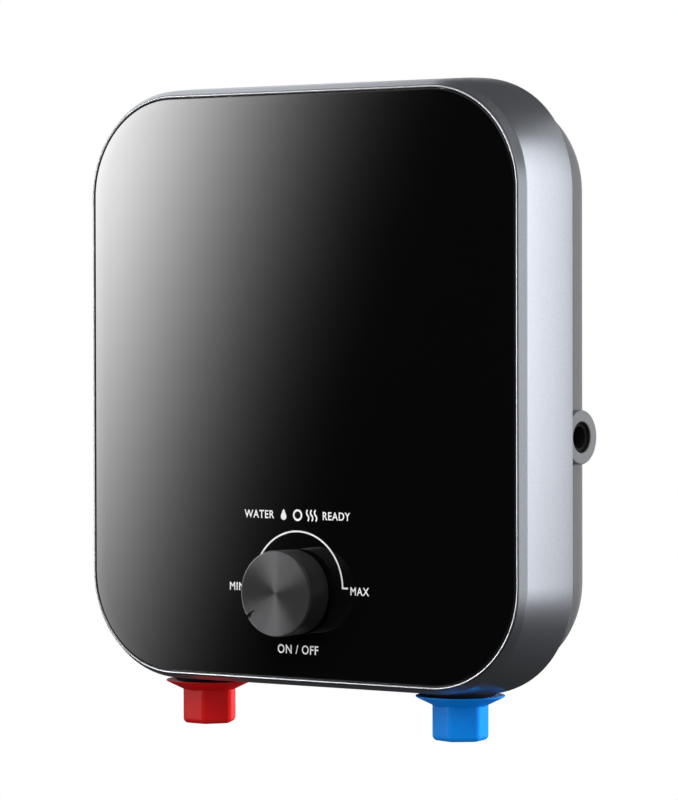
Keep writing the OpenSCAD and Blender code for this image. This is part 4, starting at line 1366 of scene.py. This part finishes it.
@dataclass(frozen=True)
class Card:
    """A flat studio card that shows in reflections alone.

    Attributes:
        name: Name of the card.
        centre: Middle of the card.
        across: Half of its width, as a vector.
        rise: Half of its height, as a vector.
        slope: Change of brightness per metre along each axis.
        base: Brightness at the origin, before the curve.
        curve: Power of the brightness.
        level: Strength of full brightness.
        knee: Brightness near which the glow levels off, or 0 for none.
        fade: Heights between which the glow rises from none to full, or None.
    """

    name: str
    centre: Point
    across: Point
    rise: Point
    slope: Point = (0.0, 0.0, 0.0)
    base: float = 1.0
    curve: float = 1.0
    level: float = 1.0
    knee: float = 0.0
    fade: tuple[float, float] | None = None

    def material(self) -> Material:
        """Build the glow of the card.

        Returns:
            The material.
        """
        material = bpy.data.materials.new(self.name)
        graph = NodeGraph(material, "ShaderNodeEmission")
        where = graph.place()
        along = graph.vector("DOT_PRODUCT", where, self.slope).outputs["Value"]
        glow = graph.reckon("POWER", graph.reckon("ADD", along, self.base, clamp=True), self.curve)
        if self.knee:
            glow = graph.reckon("DIVIDE", glow, graph.reckon("ADD", glow, self.knee))
        glow = graph.reckon("MULTIPLY", glow, self.level)
        if self.fade:
            glow = graph.reckon("MULTIPLY", glow, graph.spread(graph.height(where), 0.0, 1.0, *self.fade))
        graph.drive(glow, "Strength")
        return material

    def build(self) -> Thing:
        """Hang the card in the studio.

        Returns:
            The new object.
        """
        across, rise = Vector(self.across), Vector(self.rise)
        place = Matrix((across, rise, across.cross(rise).normalized())).transposed().to_4x4()
        place.translation = Vector(self.centre)
        shape = Shape()
        bmesh.ops.create_grid(shape.bm, x_segments=1, y_segments=1, size=1.0, matrix=place)
        card = shape.link(self.name, self.material())
        card.visible_camera = card.visible_diffuse = card.visible_shadow = card.visible_transmission = False
        return card


@dataclass
class Studio:
    """White studio with a pale floor, cards that shape the reflections, a soft key light and the camera.

    Attributes:
        floor_z: Height of the floor.
        floor_r: Radius of the floor.
        floor_steps: Faces round the floor.
        fill: Strength of the white surroundings as a light on dull surfaces, from below and from above.
        fill_band: Heights of the line of sight between which that strength grows.
        backdrop: Strength of the white surroundings as seen and as mirrored.
        lamps: Name, place, width and power of each soft lamp.
        camera_at: Place of the camera.
        heading: Angle of the camera round the heater, in degrees from its front towards its right.
        pitch: Angle below the horizon at which the camera looks, in degrees.
        roll: Turn of the camera round its line of sight, in degrees.
        lens: Focal length in millimetres for a 36 mm sensor.
        cards: Cards that glass, side and knob mirror.
    """

    floor_z: float = -0.34
    floor_r: float = 1.1
    floor_steps: int = 128
    fill: tuple[float, float] = (0.35, 0.9)
    fill_band: tuple[float, float] = (-0.4, 0.4)
    backdrop: float = 1.0
    lamps: tuple[tuple[str, Point, float, float], ...] = (
        ("key_lamp", (0.5, -1.5, 1.3), 0.8, 11.0),
        ("right_lamp", (0.7, 1.15, 0.1), 0.6, 34.0),
    )
    camera_at: Point = (1.137959, -1.564158, 0.032765)
    heading: float = 36.58769
    pitch: float = 1.18637
    roll: float = -0.13054578
    lens: float = 186.434
    cards: tuple[Card, ...] = (
        Card("glass_card", (-1.225, -1.56, 0.13), (0.525, 0, 0), (0, 0, 0.47),
             (-2.1965, 0, 0.86), -2.185, 4.07, 50.0, 1.43),
        Card("near_card", (0, -2.0, 0.0), (0.42, 0, 0), (0, 0, 0.9), (-0.9, 0, 0.2), 0.28, 2.0, 5.0),
        Card("join_card", (-0.71, -2.0, 0.0), (0.29, 0, 0), (0, 0, 0.9), (1.3, 0, 0.2), 1.2, 2.0, 5.0),
        Card("knob_bar", (-1.83, -1.5, -0.116), (-0.37, 0, 0.0555), (0.0163, 0, 0.1088), level=24.0),
        Card("side_card", (0.8875, 0.8275, 0.105), (-0.3175, 0.3405, 0), (0, 0, 0.655),
             (1.1, -1.18, 0), 0.56, 1.0, 2.5, fade=(-0.6, 0.0)),
        Card("rear_flag", (0.31, 1.234, 0.28), (-0.26, 0.066, 0), (0, 0, 0.48), level=0.02),
        Card("top_flag", (-0.235, 0.92, 0.74), (0.465, 0, 0), (0, -0.03, 0.27), level=0.02),
        Card("ceiling_flag", (0.2, 0.45, 1.0), (0.85, 0, 0), (0, -0.85, 0), level=0.02),
        Card("right_card", (1.5, -0.1, -0.02), (0, 0.35, 0), (0, 0, 0.5), level=0.75),
        Card("corner_flag", (1.4, 0.1, 1.1), (0, 0.5, 0), (-0.1, 0, 0.55), level=0.05),
        Card("front_flag", (1.0, -1.13, 0.0), (0.54, 0.715, 0), (0, 0, 0.9), level=0.05),
        Card("bottom_flag", (-0.25, 0.9, -0.54), (0.7, 0, 0), (0, -0.05, -0.2), level=0.02),
        Card("floor_flag", (-0.05, 0.25, -0.33), (0.95, 0, 0), (0, 0.7, 0), level=0.02),
    )

    def build(self, floor: Material) -> None:
        """Set up floor, surroundings, lights and camera.

        Args:
            floor: Material of the floor.
        """
        lamps = [self.build_lamp(*lamp) for lamp in self.lamps]
        self.build_floor(floor)
        self.build_camera()
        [c.build() for c in self.cards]
        self.light_world()
        bpy.context.scene.view_settings.view_transform = "Standard"

    def build_floor(self, floor: Material) -> Thing:
        """Lay the round floor.

        Args:
            floor: Material of the floor.

        Returns:
            The new object.
        """
        shape = Shape()
        bmesh.ops.create_circle(shape.bm, cap_ends=True, segments=self.floor_steps, radius=self.floor_r,
                                matrix=Matrix.Translation((0, 0, self.floor_z)))
        ground = shape.link("floor", floor)
        ground.visible_glossy = ground.visible_diffuse = False
        return ground

    def build_lamp(self, name: str, place: Sequence[float], size: float, power: float) -> Thing:
        """Hang a soft round lamp, turned to the heater.

        Args:
            name: Name of the lamp.
            place: Its place.
            size: Its width.
            power: Its power.

        Returns:
            The new object.
        """
        light = bpy.data.lights.new(name, "AREA")
        light.shape = "DISK"
        light.size = size
        light.energy = power
        lamp = bpy.data.objects.new(name, light)
        facing = Vector(place).to_track_quat("Z", "Y").to_matrix().to_4x4()
        lamp.matrix_world = Matrix.Translation(place) @ facing
        lamp.visible_camera = lamp.visible_glossy = False
        bpy.context.scene.collection.objects.link(lamp)
        return lamp

    def build_camera(self) -> Thing:
        """Set up the camera at the photograph's viewing angle.

        Returns:
            The new object.
        """
        lens = bpy.data.cameras.new("photo_camera")
        lens.lens = self.lens
        lens.sensor_width = 36.0
        lens.clip_start, lens.clip_end = 0.01, 50.0
        turn = (Matrix.Rotation(math.radians(self.heading), 4, "Z")
                @ Matrix.Rotation(math.radians(90 - self.pitch), 4, "X")
                @ Matrix.Rotation(math.radians(self.roll), 4, "Z"))
        camera = bpy.data.objects.new("photo_camera", lens)
        camera.matrix_world = Matrix.Translation(self.camera_at) @ turn
        bpy.context.scene.collection.objects.link(camera)
        bpy.context.scene.camera = camera
        return camera

    def light_world(self) -> None:
        """Make the surroundings white, and softer as a light on dull surfaces."""
        world = bpy.data.worlds.new("studio")
        graph = NodeGraph(world, "ShaderNodeBackground", "ShaderNodeOutputWorld")
        path = graph.add("ShaderNodeLightPath")
        seen = path.outputs["Is Camera Ray"]
        for name in ("Is Glossy Ray", "Is Transmission Ray"):
            seen = graph.reckon("MAXIMUM", seen, path.outputs[name])
        height = graph.height(graph.add("ShaderNodeTexCoord").outputs["Generated"])
        level = graph.add("ShaderNodeMapRange", To_Max=self.backdrop)
        graph.join(graph.spread(height, *self.fill, *self.fill_band), level.inputs["To Min"])
        graph.join(seen, level.inputs["Value"])
        graph.drive(level.outputs["Result"], "Strength")
        graph.surface(Color=(1, 1, 1, 1))
        bpy.context.scene.world = world


FINISHES = (
    BlackGlass("black_glass", (0.003, 0.003, 0.0035), 0.03, cells=25.0, uneven=0.4),
    SatinPaint("silver_paint", (0.525, 0.553, 0.61), 0.34, metallic=0.95, cells=900.0, depth=0.0000006,
               mottle=0.06, uneven=0.03, bump=0.4),
    Finish("grey_plastic", (0.112, 0.116, 0.122), 0.45, cells=2600.0, gloss=0.5),
    Finish("dark_plastic", (0.02, 0.02, 0.022), 0.4, gloss=0.3),
    Finish("black_rubber", (0.01, 0.01, 0.01), 0.75, cells=1400.0, depth=0.00004, gloss=0.25),
    Finish("knob_plastic", (0.045, 0.045, 0.048), 0.38, metallic=0.6),
    SpunMetal("spun_metal", (0.05, 0.05, 0.052), 0.16, metallic=0.4, depth=0.00000004, mottle=0.02,
              gloss=0.12, uneven=0.2, bump=0.35, centre=tuple(middle("knob_face"))),
    Finish("steel", (0.6, 0.6, 0.62), 0.28, metallic=1.0, grain=Grain.ALONG_X),
    Finish("brass", (0.72, 0.55, 0.27), 0.25, metallic=1.0),
    Finish("red_cap", (0.6, 0.006, 0.007), 0.42, cells=500.0, depth=0.00001, gloss=0.08),
    Finish("blue_cap", (0.002, 0.25, 0.86), 0.42, cells=500.0, depth=0.00001, gloss=0.08),
    Finish("white_plastic", (0.85, 0.85, 0.83), 0.4),
    Finish("led_clear", (0.006, 0.006, 0.006), 0.06, gloss=0.3),
    Finish("led_red", (0.7, 0.05, 0.04), 0.2),
    CircuitBoard("board_green", (0.03, 0.22, 0.09), 0.35, uneven=0.1, bump=1.0),
    Finish("part_blue", (0.08, 0.12, 0.3), 0.45),
    Finish("stainless", (0.55, 0.56, 0.58), 0.24, metallic=1.0, grain=Grain.ALONG_Z),
    Finish("copper", (0.72, 0.42, 0.28), 0.25, metallic=1.0),
    Finish("aluminium", (0.6, 0.61, 0.63), 0.35, metallic=1.0, grain=Grain.ALONG_Z),
    Finish("white_ink", (0.94, 0.94, 0.94), 0.5, depth=0.000004),
    # Darker copy of the silver paint for the lip: painted shade that dims its mirrored highlight
    Finish("lip_shaded_silver", (0.27, 0.276, 0.288), 0.32, metallic=1.0, cells=900.0, depth=0.0000002),
    Finish("gland_plastic", (0.15, 0.156, 0.165), 0.45, cells=2600.0),
    Finish("pale_floor", (0.86, 0.86, 0.86), 0.8, cells=300.0, mottle=0.01),
)


def dress_frame(materials: dict[str, Material]) -> None:
    """Give every node of the frame the material of its slot.

    Args:
        materials: Materials by slot.
    """
    for part in frame["record"]["subparts"]:
        node = bpy.data.objects[part["node"]]
        for slot in node.material_slots:
            slot.link = "OBJECT"
            slot.material = materials[part["material_slot"]]


def main() -> None:
    """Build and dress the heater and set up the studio."""
    logging.basicConfig(level=logging.INFO)
    looks = {finish.name: finish.material() for finish in FINISHES}
    dress_frame(looks)
    groups = (
        Housing(looks),
        Knob(looks),
        WaterStub(looks, "cold", "inlet_collar", "blue_cap", Body.COLD_CAP, 42.0),
        WaterStub(looks, "hot", "outlet_collar", "red_cap", Body.HOT_CAP, 57.0),
        CableGland(looks),
        GlassPrint(looks),
    )
    for group in groups:
        for piece in group.build():
            log.info("%s: %d faces", piece.name, len(piece.data.polygons))
    Studio().build(looks["pale_floor"])


if __name__ == "__main__":
    main()
